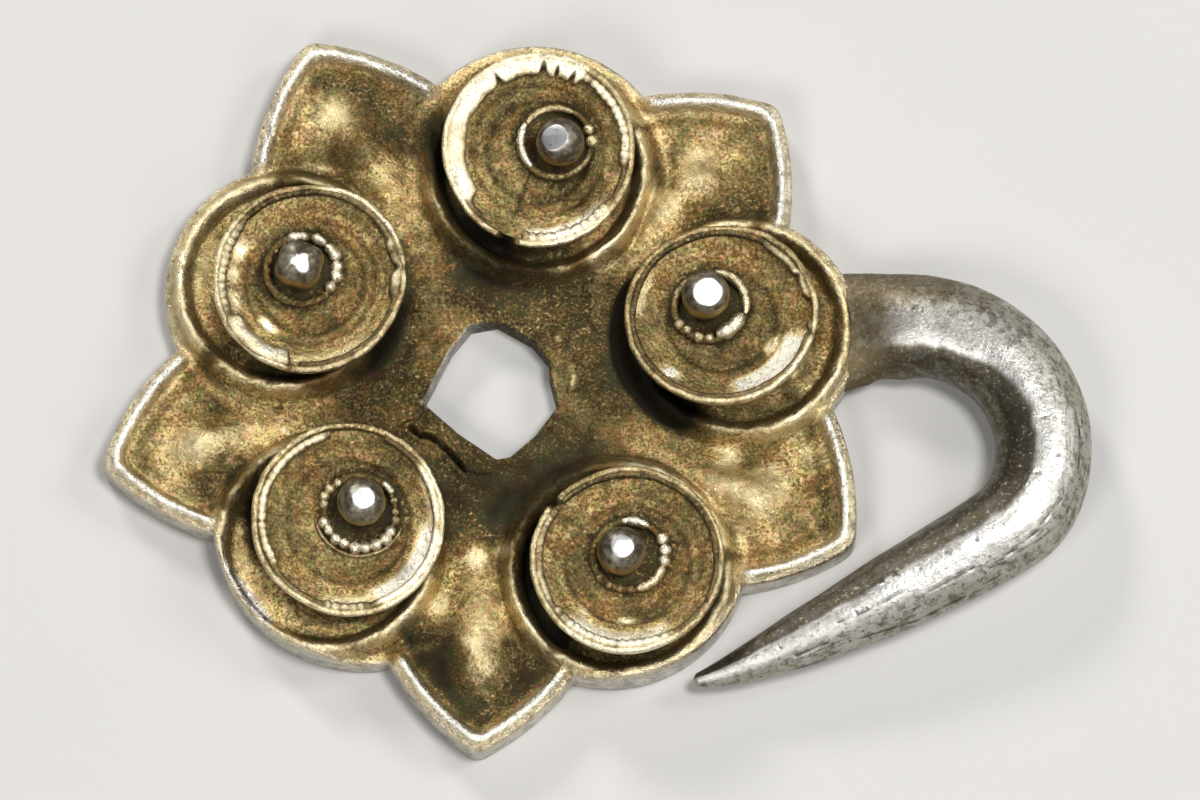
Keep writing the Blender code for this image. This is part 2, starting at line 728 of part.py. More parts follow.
def add_rim_wire(cup, collection, parent, material):
    ring_radius = DISH_RADIUS - DISH_RIM_WALL - RIM_WIRE_RADIUS - CLEARANCE
    height = ledge_height() + RIM_WIRE_RADIUS + CLEARANCE
    start, sweep = np.radians(cup.wire)
    angles = start + np.linspace(0, sweep, RIM_WIRE_POINTS)
    points = with_heights(polar(angles, ring_radius), height)
    radii = [1] * len(points)
    add_wire(f"{cup.name}_rim_wire", points, radii, RIM_WIRE_RADIUS, collection, parent, material)


def add_collar(cup, collection, parent, material):
    height = DISH_FLOOR_HEIGHT + COLLAR_WIRE_RADIUS + CLEARANCE
    points = with_heights(ring(mm(cup.collar), COLLAR_RADIUS, 2 * COLLAR_BEADS)[:-1], height)
    radii = [1, COLLAR_WAIST] * COLLAR_BEADS
    collar = add_wire(f"{cup.name}_collar", points, radii, COLLAR_WIRE_RADIUS, collection, parent, material)
    collar.data.splines[0].use_cyclic_u = True


def add_cup(cup, collection, parent, gilt, silver):
    """A dish with its rim wire, collar and pellet, leaning together on the seat."""
    rise_x, rise_y = seat_slope(cup)
    axis = Vector((-rise_x, -rise_y, 1)).normalized()
    seat = Vector((*seat_place(cup), PLATE_THICKNESS + SEAT_RISE))
    holder = add_object(f"{cup.name} cup", None, collection, parent)
    holder.location = seat + CLEARANCE * axis
    holder.rotation_euler = Vector((0, 0, 1)).rotation_difference(axis).to_euler()
    turned(f"{cup.name}_dish", dish_profile(), DISH_STEPS, collection, holder, gilt)
    add_rim_wire(cup, collection, holder, gilt)
    add_collar(cup, collection, holder, gilt)
    pellet = turned(f"{cup.name}_pellet", pellet_profile(), PELLET_STEPS, collection, holder, silver)
    pellet.location = (*mm(cup.pellet), 0)


def centre_plan(root, objects):
    """Moves the whole so that its box is centred over the origin."""
    bpy.context.view_layer.update()
    graph = bpy.context.evaluated_depsgraph_get()
    corners = []
    for obj in objects:
        evaluated = obj.evaluated_get(graph)
        corners += [evaluated.matrix_world @ Vector(corner) for corner in evaluated.bound_box]
    for axis in (0, 1):
        values = [corner[axis] for corner in corners]
        root.location[axis] -= (min(values) + max(values)) / 2


def main():
    clear_scene()
    parts = new_collection("dress hook")
    tools = new_collection("cutters")
    gilt = new_material(*GILT)
    silver = new_material(*SILVER)
    root = add_object("dress hook origin", None, parts, None)

    plate = add_object("plate", plate_mesh(), parts, root, gilt)
    hook = add_object("hook", hook_mesh(), parts, root, silver)
    cut(hook, "DIFFERENCE", add_lobe_tool(tools, root))
    tang = add_tang("tang tool", 0, tools, root)
    hide_tool(tang)
    cut(hook, "UNION", tang)
    pocket = add_tang("tang pocket tool", CLEARANCE, tools, root)
    hide_tool(pocket)
    cut(plate, "DIFFERENCE", pocket)

    for cup in CUPS:
        add_cup(cup, parts, root, gilt, silver)
    centre_plan(root, [plate, hook])


main()
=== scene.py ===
"""The looks of a Tudor silver-gilt dress hook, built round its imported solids.

Shapes are worked out in millimetres in the plan's own frame, whose origin is the middle of the pierced
hole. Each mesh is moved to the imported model's frame, in metres, as it is made.
"""

from collections import namedtuple
from math import cos, pi, radians, sin, tan

import bpy
import numpy as np
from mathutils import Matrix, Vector

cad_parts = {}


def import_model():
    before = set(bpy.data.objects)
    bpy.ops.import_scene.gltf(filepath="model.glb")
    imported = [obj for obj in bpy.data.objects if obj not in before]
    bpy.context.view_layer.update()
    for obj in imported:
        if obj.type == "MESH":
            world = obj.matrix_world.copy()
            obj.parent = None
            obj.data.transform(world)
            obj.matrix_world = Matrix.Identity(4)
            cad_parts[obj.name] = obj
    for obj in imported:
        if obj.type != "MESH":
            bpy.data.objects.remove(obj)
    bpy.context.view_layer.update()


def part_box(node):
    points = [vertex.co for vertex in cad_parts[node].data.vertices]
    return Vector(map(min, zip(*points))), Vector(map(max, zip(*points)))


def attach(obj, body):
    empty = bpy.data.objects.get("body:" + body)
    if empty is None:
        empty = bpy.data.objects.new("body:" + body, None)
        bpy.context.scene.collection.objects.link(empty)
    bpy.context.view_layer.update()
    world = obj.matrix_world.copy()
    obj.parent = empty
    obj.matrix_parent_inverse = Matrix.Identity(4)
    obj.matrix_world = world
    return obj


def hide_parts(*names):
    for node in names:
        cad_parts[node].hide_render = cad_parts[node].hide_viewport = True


MM = 0.001

# Plate, as in the solids
PLATE_THICKNESS = 0.80
EDGE_ROUND = 0.12
HOLE_EDGE_ROUND = 0.07
OUTLINE_REACH = (5.5, 14.0)
OUTLINE_HALVINGS = 40
VALLEY_RAYS = 1440

# Leaves: tip angle, reach, the half angles of the point on its two sides, and how soiled each one is
Leaf = namedtuple("Leaf", "angle reach left_half right_half soil")
LEAVES = (
    Leaf(117.3, 10.04, 65.4, 58.5, 0.54),
    Leaf(45.1, 10.21, 64.4, 63.2, 0.44),
    Leaf(192.1, 9.90, 58.7, 61.1, 0.48),
    Leaf(268.1, 9.48, 61.8, 58.3, 0.84),
    Leaf(335.5, 9.98, 72.2, 57.7, 0.30),
)
LEAF_SIDE_RADIUS = 6.75
LEAF_TIP_ROUND = 0.25
LEAF_BORDER_RISE = 0.42
LEAF_BORDER_INSET = 0.28
LEAF_BORDER_OUTER = 0.42
LEAF_BORDER_INNER = 0.26
LEAF_BORDER_START = 6.0
LEAF_BORDER_FADE = 0.9
LEAF_BORDER_OVERLAP = 0.30
LEAF_BORDER_LOBE_FADE = 0.40
BOSS_RISE = 0.55
BOSS_DISTANCE = 7.25
BOSS_OUTER_LENGTH = 1.15
BOSS_INNER_LENGTH = 2.9
BOSS_HALF_WIDTH = 1.05

# Sockets and the seats in them. A rim's rise is shared by a level part, a wide and a fine unevenness
SOCKET_RIM_RADIUS = 2.66
SOCKET_RIM_HALF_WIDTH = 0.42
SOCKET_RIM_RISE = 0.68
SOCKET_RIM_SHARES = (0.76, 0.16, 0.08)
SOCKET_FLOOR_RISE = 0.06
SEAT_RISE = 0.17
SEAT_FILLET = 0.18
SEAT_CLEARANCE = 0.03

# Pierced hole: the angle of each corner in degrees, and how far it is from the middle
HOLE_CORNERS = (
    (12, 1.51), (25, 1.62), (49, 1.60), (84, 1.71), (107, 1.65), (135, 1.37),
    (194, 1.71), (236, 1.44), (275, 1.86), (286, 1.86), (312, 1.69), (343, 1.76),
)

# Cups: the lobe (x, y, radius), the socket's middle, the seat's middle from it, the lean towards +X
# and +Y in degrees, and the collar's and the pellet's middle on the dish
Cup = namedtuple("Cup", "name lobe socket seat lean collar pellet")
CUPS = (
    Cup("top", (1.12, 5.43, 3.44), (1.18, 5.54), (-0.02, 0.41), (3, -5), (0.44, 0.22), (0.53, 0.10)),
    Cup("left", (-4.68, 2.38, 3.45), (-5.10, 2.59), (0.64, -0.14), (-2, 4), (-0.22, 0.32), (-0.24, 0.23)),
    Cup("lower_left", (-3.11, -3.37, 3.79), (-4.05, -4.14), (0.51, 0.53), (2, -6), (0.29, 0.24),
        (0.32, 0.40)),
    Cup("lower_right", (2.99, -4.17, 3.44), (3.20, -4.79), (0.26, -0.04), (-2, 4), (0.02, 0.24),
        (-0.15, 0.15)),
    Cup("right", (6.27, 1.34, 2.93), (6.23, 1.42), (-0.41, -0.03), (-3, 8), (-0.31, 0.39), (-0.38, 0.44)),
)
RIGHT_CUP = CUPS[-1]

# Dish of each cup, and the grooves in its floor, as (height, half width)
DISH_RADIUS = 2.41
DISH_HEIGHT = 1.15
DISH_FOOT_RADIUS = 1.40
DISH_FLOOR_HEIGHT = 0.55
DISH_FLAT_RADIUS = 1.15
DISH_BOWL_POWER = 1.5
DISH_LEDGE_HEIGHT = 0.98
DISH_WALL_INSIDE = 2.25
DISH_COLUMNS = 240
DISH_FLOOR_RINGS = 20
DISH_BOWL_RINGS = 21
DISH_LIP_RINGS = 9
DISH_WALL_RINGS = 14
DISH_FOOT_RINGS = (1.1, 0.7, 0.3)
GROOVE_FORM = (-0.030, 0.07)
GROOVE_LIP_OFFSET = 0.14
GROOVE_LIP_FORM = (0.018, 0.09)

# Unevenness of a dish: of its outline as a share, of its lip in the plan and upwards, of its floor, and of
# its whole skin. A notch draws the lip inwards by a share of its depth
DISH_OUT_OF_ROUND = 0.012
LIP_RAGGEDNESS = 0.012
LIP_UNEVENNESS = 0.030
FLOOR_UNEVENNESS = 0.025
DISH_ROUGHNESS = 0.010
NOTCH_DRAW = 0.3

# Hook, as in the solids: its middle line in runs of (length, turn in degrees), and its sections as
# (share of the length, width, height, height of the middle)
HOOK_ROOT_ANGLE = 0.6
HOOK_HEADING = 11.7
HOOK_RUNS = (
    (1.58, -15.5), (2.63, -46.6), (3.28, -59.4), (1.33, -38.2), (7.24, -8.8), (1.28, -9.9),
)
HOOK_SECTIONS = (
    (0.00, 3.25, 1.34, 0.69), (0.03, 2.88, 1.56, 0.80), (0.07, 2.66, 1.84, 0.95),
    (0.13, 2.53, 2.10, 1.08), (0.21, 2.47, 2.20, 1.13), (0.32, 2.44, 2.20, 1.14),
    (0.44, 2.43, 2.30, 1.18), (0.55, 2.27, 2.20, 1.14), (0.70, 1.97, 1.80, 1.05),
    (0.85, 1.36, 1.20, 0.92), (0.95, 0.77, 0.74, 0.83), (1.00, 0.34, 0.34, 0.78),
)
HOOK_STATIONS = 400
HOOK_COLUMNS = 120
HOOK_SUBSTEPS = 8
HOOK_SECTION_BLUR = 11
HOOK_BITE = 0.20
HOOK_ROOT_STEPS = 8
HOOK_ROOT_FLARE = 0.04
HOOK_ROOT_FALL = 0.60
HOOK_ROOT_TUCK = 0.30
HOOK_ROOT_LIFT = 0.14
HOOK_POINT_LENGTH = 0.12
HOOK_MARK_DEPTH = 0.045
HOOK_DENT_SHARE = 0.020
HOOK_LINE_SHARE = 0.008

# Tang: thinner than the solid's and set higher, so that the plate's uneven back covers it
TANG_WIDTH = 1.90
TANG_LENGTH = 1.70
TANG_THICKNESS = 0.40
TANG_LIFT = 0.04
TANG_OVERLAP = 0.9
TANG_ROUND = 0.08
TANG_ROUND_STEPS = 3

# Pits and scratches of the hook, in the plan: (x, y, half width) and lines of points
HOOK_PITS = (
    (13.76, -1.15, 0.07), (9.10, -6.05, 0.10), (9.35, -5.95, 0.08), (9.70, -5.30, 0.09),
    (10.05, -5.15, 0.08), (12.25, 2.45, 0.09), (12.62, 2.33, 0.08), (10.55, 1.70, 0.07),
    (10.75, 1.62, 0.06), (14.35, -0.20, 0.06), (14.10, -2.10, 0.07), (13.60, -2.60, 0.08),
    (7.20, -6.85, 0.07), (12.05, -4.30, 0.07), (11.30, -4.60, 0.06),
)
HOOK_SCRATCHES = (
    (((13.40, -2.60), (13.20, -3.10)), 0.04), (((14.55, -0.9), (14.68, -1.6), (14.62, -2.5)), 0.05),
    (((11.9, 2.62), (12.5, 2.42), (12.95, 2.12)), 0.05), (((12.2, 2.86), (12.9, 2.56)), 0.04),
    (((9.2, -6.62), (10.6, -6.15), (11.8, -5.55)), 0.03), (((7.4, -7.35), (8.6, -7.0)), 0.03),
    (((12.4, -4.95), (13.5, -4.1), (14.2, -3.2)), 0.04), (((10.9, -5.55), (12.0, -4.95)), 0.03),
    (((7.6, -7.05), (8.4, -6.75)), 0.04), (((8.6, -6.3), (9.5, -5.95), (10.3, -5.5)), 0.03),
)

# Fineness of the plate's mesh
PLATE_RAYS = 780
FACE_ROWS = 92
FACE_ROW_CROWDING = 1.15
BACK_ROWS = 14
WALL_ROWS = 4
ROUND_STEPS = 3

# Skin of the casting in layers of noise, as (height, size, seed, layers), and its marks, as (height,
# half width), where a height under nothing is a depth
SKIN = ((0.035, 0.9, 11, 3), (0.018, 0.24, 21, 2))
BACK_UNEVENNESS = 0.012
CRACK_FORM = (-0.42, 0.065)
CRACK_TAIL_FORM = (-0.05, 0.08)
CRACK_LIP_OFFSET = 0.14
CRACK_LIP_FORM = (0.06, 0.10)
HOLE_RIDGE_FORM = (0.06, 0.22)
SCRATCH_FORM = (-0.035, 0.05)
NICK_DEPTH = 0.06
CUT_DEPTH = 0.20

# Forms that stand this high over the plate are worn down unevenly, by this much at most
RAISED_HEIGHT = 0.3
RAISED_LOSS = 0.05

# Gilding has three values: soil with painted shade, rubbing with painted highlights, and bare silver.
# Here are their limit, what they are where the plate's wear is even, and how far they reach from
# the forms that they follow
GILDING = ("dirt", "wear", "bare")
MOST_WEAR = 1.5
WALL_GILDING = (0.2, 0.5, 0.75)
LOWER_EDGE_GILDING = (0.2, 0.4, 0.7)
BACK_GILDING = (0.25, 0.2, 0.6)
WORN_BORE = (105, 190)
HOLLOW_REACHES = (0.30, 0.80)
HOLLOW_STEPS = 8
MIDDLE_DIRT_REACH = 5.4
MIDDLE_DIRT_FADE = 2.6
LEAF_CREST_HALF_WIDTH = 0.24
LEAF_LINE_INSET = 0.78
LEAF_LINE_HALF_WIDTH = 0.36
LEAF_SOIL_INSET = 0.45
LEAF_SOIL_FADE = 0.3
RIM_CREST_HALF_WIDTH = 0.30
LOBE_EDGE_INSET = 0.14
LOBE_EDGE_HALF_WIDTH = 0.20
# Painted shade under the cups: how far it reaches and fades; and the fade of the deep painted shadow
CUP_SHADE_REACH = 0.30
CUP_SHADE_FADE = 0.45
DEEP_CUP_SHADOW_FADE = 0.35

# Places in the plan of the marks and of painted highlights: lines of points, and spots as (x, y, half width)
CRACK = ((-1.98, -1.06), (-1.75, -1.26), (-1.50, -1.29), (-1.25, -1.47), (-0.95, -1.78), (-0.62, -2.17))
CRACK_TAIL = ((-0.62, -2.17), (-0.30, -2.25), (0.0, -2.22))
SCRATCHES = (
    ((1.45, 2.23), (1.80, 1.76)), ((0.50, -6.70), (0.82, -6.23)), ((-5.35, -1.02), (-4.95, -1.30)),
    ((-5.55, -0.63), (-5.20, -0.89)), ((-2.05, 6.05), (-2.35, 6.45)),
)
HOLE_RIDGE = ((1.65, 1.25), (1.90, 0.88), (2.10, 0.37), (2.05, -0.15))
BARE_PATCH = ((-6.9, -4.6), (-5.75, -6.1))
BORDER_CUTS = ((-5.55, 6.54, 0.17), (-5.42, 6.30, 0.10), (5.00, -5.05, 0.12))
NICKS = ((-2.17, 6.24, 0.14), (-1.07, 1.76, 0.10), (-1.12, 1.20, 0.09), (2.25, -1.21, 0.13))
# Painted highlights, most of them on the leaves' bosses
HIGHLIGHT_SPOTS = (
    (-3.88, 7.05, 0.9), (5.25, 5.76, 0.7), (3.88, 5.11, 0.7), (4.35, 4.6, 0.6), (-7.38, -1.62, 0.8),
    (-0.5, -6.66, 0.5), (6.88, -2.52, 0.9), (5.9, -1.9, 0.6), (3.75, 6.89, 0.4), (2.75, 3.27, 0.6),
    (1.75, 3.01, 0.5), (-0.3, -4.4, 0.5), (0.35, -4.2, 0.4), (-1.3, -5.6, 0.45), (-5.6, 0.9, 0.5),
)
# Painted highlights on each cup's socket rim: arcs in degrees and how much
RIM_HIGHLIGHT_ARCS = {
    "top": ((-50, 20, 0.45), (60, 120, 0.45)),
    "left": ((-100, -40, 0.55), (95, 150, 0.35)),
    "lower_left": ((-64, -24, 1.0), (185, 250, 0.45)),
    "lower_right": ((-110, -40, 0.45), (20, 60, 0.3)),
    "right": ((-68, -18, 0.95), (-18, 50, 0.35)),
}
# Painted shadow beside each cup, near-black where deepest: the arc in degrees, how far out and how deep
DEEP_CUP_SHADOW = {
    "top": (168, 250, 0.50, 1.0), "left": (228, 285, 0.35, 0.7), "lower_left": (160, 205, 0.30, 1.3),
    "lower_right": (150, 235, 0.45, 1.05), "right": (150, 256, 0.55, 1.4),
}


# Numbers

def smooth_max(a, b, reach):
    """The larger of two values, with the change from one to the other rounded over the reach."""
    share = np.clip(0.5 + 0.5 * (a - b) / reach, 0, 1)
    return b * (1 - share) + a * share + reach * share * (1 - share)


def smooth_step(value):
    value = np.clip(value, 0, 1)
    return value * value * (3 - 2 * value)


def bump(offset):
    """A smooth hump, one high in its middle and level at an offset of one."""
    return np.cos(pi / 2 * np.clip(np.abs(offset), 0, 1)) ** 2


def hump(distance, height, half_width):
    """The height of a smooth hump at a distance from its middle."""
    return height * bump(distance / half_width)


def mix(a, b, share):
    return a + (b - a) * share


def angle_offset(angles, middle):
    """Degrees from a middle, from -180 to 180."""
    return (np.degrees(angles) - middle + 180) % 360 - 180


def arc_share(angles, start, end, soft):
    """One between two angles in degrees, and soft at both ends."""
    half = (end - start) / 2
    return smooth_step((half - np.abs(angle_offset(angles, (start + end) / 2))) / soft + 0.5)


LATTICE_FACTORS = (374761393, 668265263, 974634777, 1274126177)
LATTICE_BITS = 0x7FFFFFFF


def lattice(i, j, seed):
    """A repeatable number from -1 to 1 for each corner of a unit grid."""
    factor_i, factor_j, factor_seed, last_factor = LATTICE_FACTORS
    number = (i * factor_i + j * factor_j + seed * factor_seed) & LATTICE_BITS
    number = ((number ^ (number >> 13)) * last_factor) & LATTICE_BITS
    return ((number ^ (number >> 16)) & 0xFFFF) / 32767.5 - 1


def noise(x, y, size, seed):
    """Smooth noise from -1 to 1, with forms of the given size."""
    u, v = np.asarray(x) / size, np.asarray(y) / size
    i, j = np.floor(u).astype(np.int64), np.floor(v).astype(np.int64)
    across, up = smooth_step(u - i), smooth_step(v - j)
    low = mix(lattice(i, j, seed), lattice(i + 1, j, seed), across)
    high = mix(lattice(i, j + 1, seed), lattice(i + 1, j + 1, seed), across)
    return mix(low, high, up)


def layered_noise(x, y, size, seed, layers=3):
    """Noise in layers, each half as large and half as strong as the one before."""
    return sum(noise(x, y, size / 2 ** layer, seed + layer) / 2 ** layer for layer in range(layers))


def away(x, y, place):
    """How far each point is from a place, which is the first two of its numbers."""
    return np.hypot(x - place[0], y - place[1])


def line_distance(x, y, line):
    """How far each point is from a line of points."""
    nearest = np.inf
    for (ax, ay), (bx, by) in zip(line, line[1:]):
        length = (bx - ax) ** 2 + (by - ay) ** 2
        along = np.clip(((x - ax) * (bx - ax) + (y - ay) * (by - ay)) / length, 0, 1)
        nearest = np.minimum(nearest, np.hypot(x - ax - along * (bx - ax), y - ay - along * (by - ay)))
    return nearest


def full_turn(count):
    """Even angles round a circle, as one row of a grid."""
    return (np.arange(count) * 2 * pi / count)[None, :]


# Meshes

def ring_points(radii, angles, heights):
    """Points round the upright axis, in the arrays' common shape."""
    parts = np.broadcast_arrays(radii * np.cos(angles), radii * np.sin(angles), heights)
    return np.stack(parts, axis=-1)


def grid_faces(rows, columns, close_rows=False):
    """The faces of a grid whose columns run round, as its rows do where they are closed."""
    row = np.arange(rows if close_rows else rows - 1)[:, None]
    column = np.arange(columns)[None, :]
    next_row, next_column = (row + 1) % rows, (column + 1) % columns
    corners = [row * columns + column, next_row * columns + column,
               next_row * columns + next_column, row * columns + next_column]
    return np.stack(np.broadcast_arrays(*corners), axis=-1).reshape(-1, 4).tolist()


def capped_grid(grid, start=None, end=None, turned=True):
    """A grid's points and faces, with its first and last rows closed by fans to a point each.

    A point that isn't given is its row's middle. Turned faces are for rows that run the other way.
    """
    rows, columns = grid.shape[:2]
    count = rows * columns
    start = grid[0].mean(axis=0) if start is None else start
    end = grid[-1].mean(axis=0) if end is None else end
    faces = grid_faces(rows, columns)
    pairs = [(column, (column + 1) % columns) for column in range(columns)]
    faces += [(after, count, before) for before, after in pairs]
    last = count - columns
    faces += [(last + before, count + 1, last + after) for before, after in pairs]
    if turned:
        faces = [face[::-1] for face in faces]
    return np.concatenate([grid.reshape(-1, 3), [start, end]]), faces


def with_ends(values, start=0, end=0):
    """A grid's values in one row, followed by those of its two end points."""
    return np.concatenate([np.ravel(values), [start, end]])


def gilding(shape, *values):
    """The values of gilding on a capped grid, within their limits."""
    full = [np.clip(np.broadcast_to(value, shape), 0, MOST_WEAR) for value in values]
    return {key: with_ends(grid, grid[0, 0], grid[-1, -1]) for key, grid in zip(GILDING, full)}


def add_mesh(name, points, faces, shift, values):
    """A smooth mesh from points in plan millimetres, with the named values on its points."""
    mesh = bpy.data.meshes.new(name)
    mesh.from_pydata((points * MM + shift).tolist(), [], faces)
    mesh.shade_smooth()
    for key, value in values.items():
        attribute = mesh.attributes.new(key, "FLOAT", "POINT")
        attribute.data.foreach_set("value", value.astype(np.float32))
    obj = bpy.data.objects.new(name, mesh)
    bpy.context.scene.collection.objects.link(obj)
    return obj


# Outline of the plate

def leaf_distance(leaf, x, y):
    angle = radians(leaf.angle)
    sides = []
    for turn, half in ((1, leaf.left_half), (-1, leaf.right_half)):
        normal = angle + turn * (pi / 2 - radians(half))
        centre = [leaf.reach * axis(angle) - LEAF_SIDE_RADIUS * axis(normal) for axis in (cos, sin)]
        sides.append(away(x, y, centre) - LEAF_SIDE_RADIUS)
    return smooth_max(*sides, LEAF_TIP_ROUND)


def lobe_gap(x, y):
    """How far outside the nearest lobe a point is."""
    return np.minimum.reduce([away(x, y, cup.lobe) - cup.lobe[2] for cup in CUPS])


def outline_distance(x, y):
    leaves = [leaf_distance(leaf, x, y) for leaf in LEAVES]
    return np.minimum.reduce([lobe_gap(x, y), *leaves])


def outline_radius(angles):
    low, high = (np.full(len(angles), reach) for reach in OUTLINE_REACH)
    for _ in range(OUTLINE_HALVINGS):
        middle = (low + high) / 2
        outside = outline_distance(middle * np.cos(angles), middle * np.sin(angles)) > 0
        high = np.where(outside, middle, high)
        low = np.where(outside, low, middle)
    return low


def hole_radius(angles):
    corners = np.array([(radians(angle), reach) for angle, reach in HOLE_CORNERS])
    turned = np.mod(angles, 2 * pi)
    after = np.searchsorted(corners[:, 0], turned) % len(corners)
    angle_a, reach_a = corners[after - 1].T
    angle_b, reach_b = corners[after].T
    span = np.sin((angle_b - angle_a) % (2 * pi))
    from_a = np.sin((angle_b - turned) % (2 * pi)) / reach_a
    from_b = np.sin((turned - angle_a) % (2 * pi)) / reach_b
    return span / (from_a + from_b)


def plate_rays():
    """Even angles, with the leaves' points, the valleys and the hole's corners among them."""
    angles = full_turn(VALLEY_RAYS)[0]
    radii = outline_radius(angles)
    valleys = angles[(radii < np.roll(radii, 1)) & (radii <= np.roll(radii, -1))]
    tips = np.radians([leaf.angle for leaf in LEAVES])
    corners = np.radians([angle for angle, _ in HOLE_CORNERS])
    special = np.mod(np.concatenate([valleys, tips, corners]), 2 * pi)
    even = full_turn(PLATE_RAYS)[0]
    apart = np.abs((even[:, None] - special[None, :] + pi) % (2 * pi) - pi).min(axis=1)
    return np.sort(np.concatenate([even[apart > 0.5 * pi / PLATE_RAYS], special]))


# Relief of the plate's face

def seat_place(cup):
    return np.array(cup.socket) + np.array(cup.seat)


def seat_slope(cup):
    return -tan(radians(cup.lean[0])), -tan(radians(cup.lean[1]))


def leaf_ends(x, y):
    """One on the leaves' outer parts, and nothing towards the hole."""
    return smooth_step((np.hypot(x, y) - LEAF_BORDER_START) / LEAF_BORDER_FADE)


def leaf_border(leaf, x, y):
    """One on the crest of the leaf's border, which ends at the lobes and towards the hole."""
    offset = leaf_distance(leaf, x, y) + LEAF_BORDER_INSET
    crest = bump(offset / np.where(offset > 0, LEAF_BORDER_OUTER, LEAF_BORDER_INNER))
    off_lobes = smooth_step((lobe_gap(x, y) + LEAF_BORDER_OVERLAP) / LEAF_BORDER_LOBE_FADE)
    return crest * leaf_ends(x, y) * off_lobes


def leaf_relief(leaf, x, y):
    border = LEAF_BORDER_RISE * leaf_border(leaf, x, y)
    angle = radians(leaf.angle)
    along = x * cos(angle) + y * sin(angle) - BOSS_DISTANCE
    across = y * cos(angle) - x * sin(angle)
    length = np.where(along > 0, BOSS_OUTER_LENGTH, BOSS_INNER_LENGTH)
    boss = BOSS_RISE * bump(np.hypot(along / length, across / BOSS_HALF_WIDTH))
    return np.maximum(border, boss)


def relief(x, y):
    """The height of the plate's face over its back, as in the solids but with uneven socket rims."""
    height = PLATE_THICKNESS + np.maximum.reduce([leaf_relief(leaf, x, y) for leaf in LEAVES])
    for cup in CUPS:
        inside = smooth_step((SOCKET_RIM_RADIUS - away(x, y, cup.socket)) / SOCKET_RIM_HALF_WIDTH)
        height = mix(height, PLATE_THICKNESS + SOCKET_FLOOR_RISE, inside)
    level, wide, fine = SOCKET_RIM_SHARES
    uneven = SOCKET_RIM_RISE * (level + wide * noise(x, y, 0.9, 61) + fine * noise(x, y, 0.22, 62))
    for cup in CUPS:
        rim = bump((away(x, y, cup.socket) - SOCKET_RIM_RADIUS) / SOCKET_RIM_HALF_WIDTH)
        height = np.maximum(height, PLATE_THICKNESS + uneven * rim)
    for cup in CUPS:
        seat = seat_place(cup)
        slope_x, slope_y = seat_slope(cup)
        plane = PLATE_THICKNESS + SEAT_RISE + slope_x * (x - seat[0]) + slope_y * (y - seat[1])
        beyond = away(x, y, seat) - DISH_FOOT_RADIUS - 2 * SEAT_CLEARANCE
        height = mix(height, plane, 1 - smooth_step(beyond / SEAT_FILLET))
    return height


def face_height(x, y):
    """The relief with the casting's uneven skin, the crack, the nicks and the scratches."""
    height = relief(x, y)
    raised = smooth_step((height - PLATE_THICKNESS) / RAISED_HEIGHT)
    for rise, size, seed, layers in SKIN:
        height = height + rise * layered_noise(x, y, size, seed, layers)
    height = height - raised * RAISED_LOSS * (0.5 + 0.5 * noise(x, y, 0.35, 31))
    wander = 0.02 * noise(x, y, 0.15, 41)
    crack = line_distance(x, y, CRACK)
    height = height + hump(crack - CRACK_LIP_OFFSET, *CRACK_LIP_FORM) + hump(crack + wander, *CRACK_FORM)
    height = height + hump(line_distance(x, y, CRACK_TAIL) + wander, *CRACK_TAIL_FORM)
    height = height + hump(line_distance(x, y, HOLE_RIDGE), *HOLE_RIDGE_FORM)
    for scratch in SCRATCHES:
        height = height + hump(line_distance(x, y, scratch), *SCRATCH_FORM)
    for marks, depth in ((NICKS, NICK_DEPTH), (BORDER_CUTS, CUT_DEPTH)):
        for mark in marks:
            height = height - hump(away(x, y, mark), depth, mark[2])
    return height


def hollow(x, y, reach):
    """How far a point lies below the mean height round it."""
    around = full_turn(HOLLOW_STEPS)[0]
    total = sum(relief(x + reach * cos(turn), y + reach * sin(turn)) for turn in around)
    return total / HOLLOW_STEPS - relief(x, y)


def shade_under_cups(x, y):
    """The painted shade under each cup, which fades just outside it and is a deep painted shadow on some
    sides.
    """
    shade = 0
    for cup in CUPS:
        middle = seat_place(cup)
        distance = away(x, y, middle)
        turn = np.arctan2(y - middle[1], x - middle[0])
        near = smooth_step((DISH_RADIUS + CUP_SHADE_REACH - distance) / CUP_SHADE_FADE)
        shade = np.maximum(shade, 0.30 * near)
        start, end, reach, depth = DEEP_CUP_SHADOW[cup.name]
        near = smooth_step((DISH_RADIUS + reach - distance) / DEEP_CUP_SHADOW_FADE)
        shade = np.maximum(shade, depth * near * arc_share(turn, start, end, 30))
    return shade


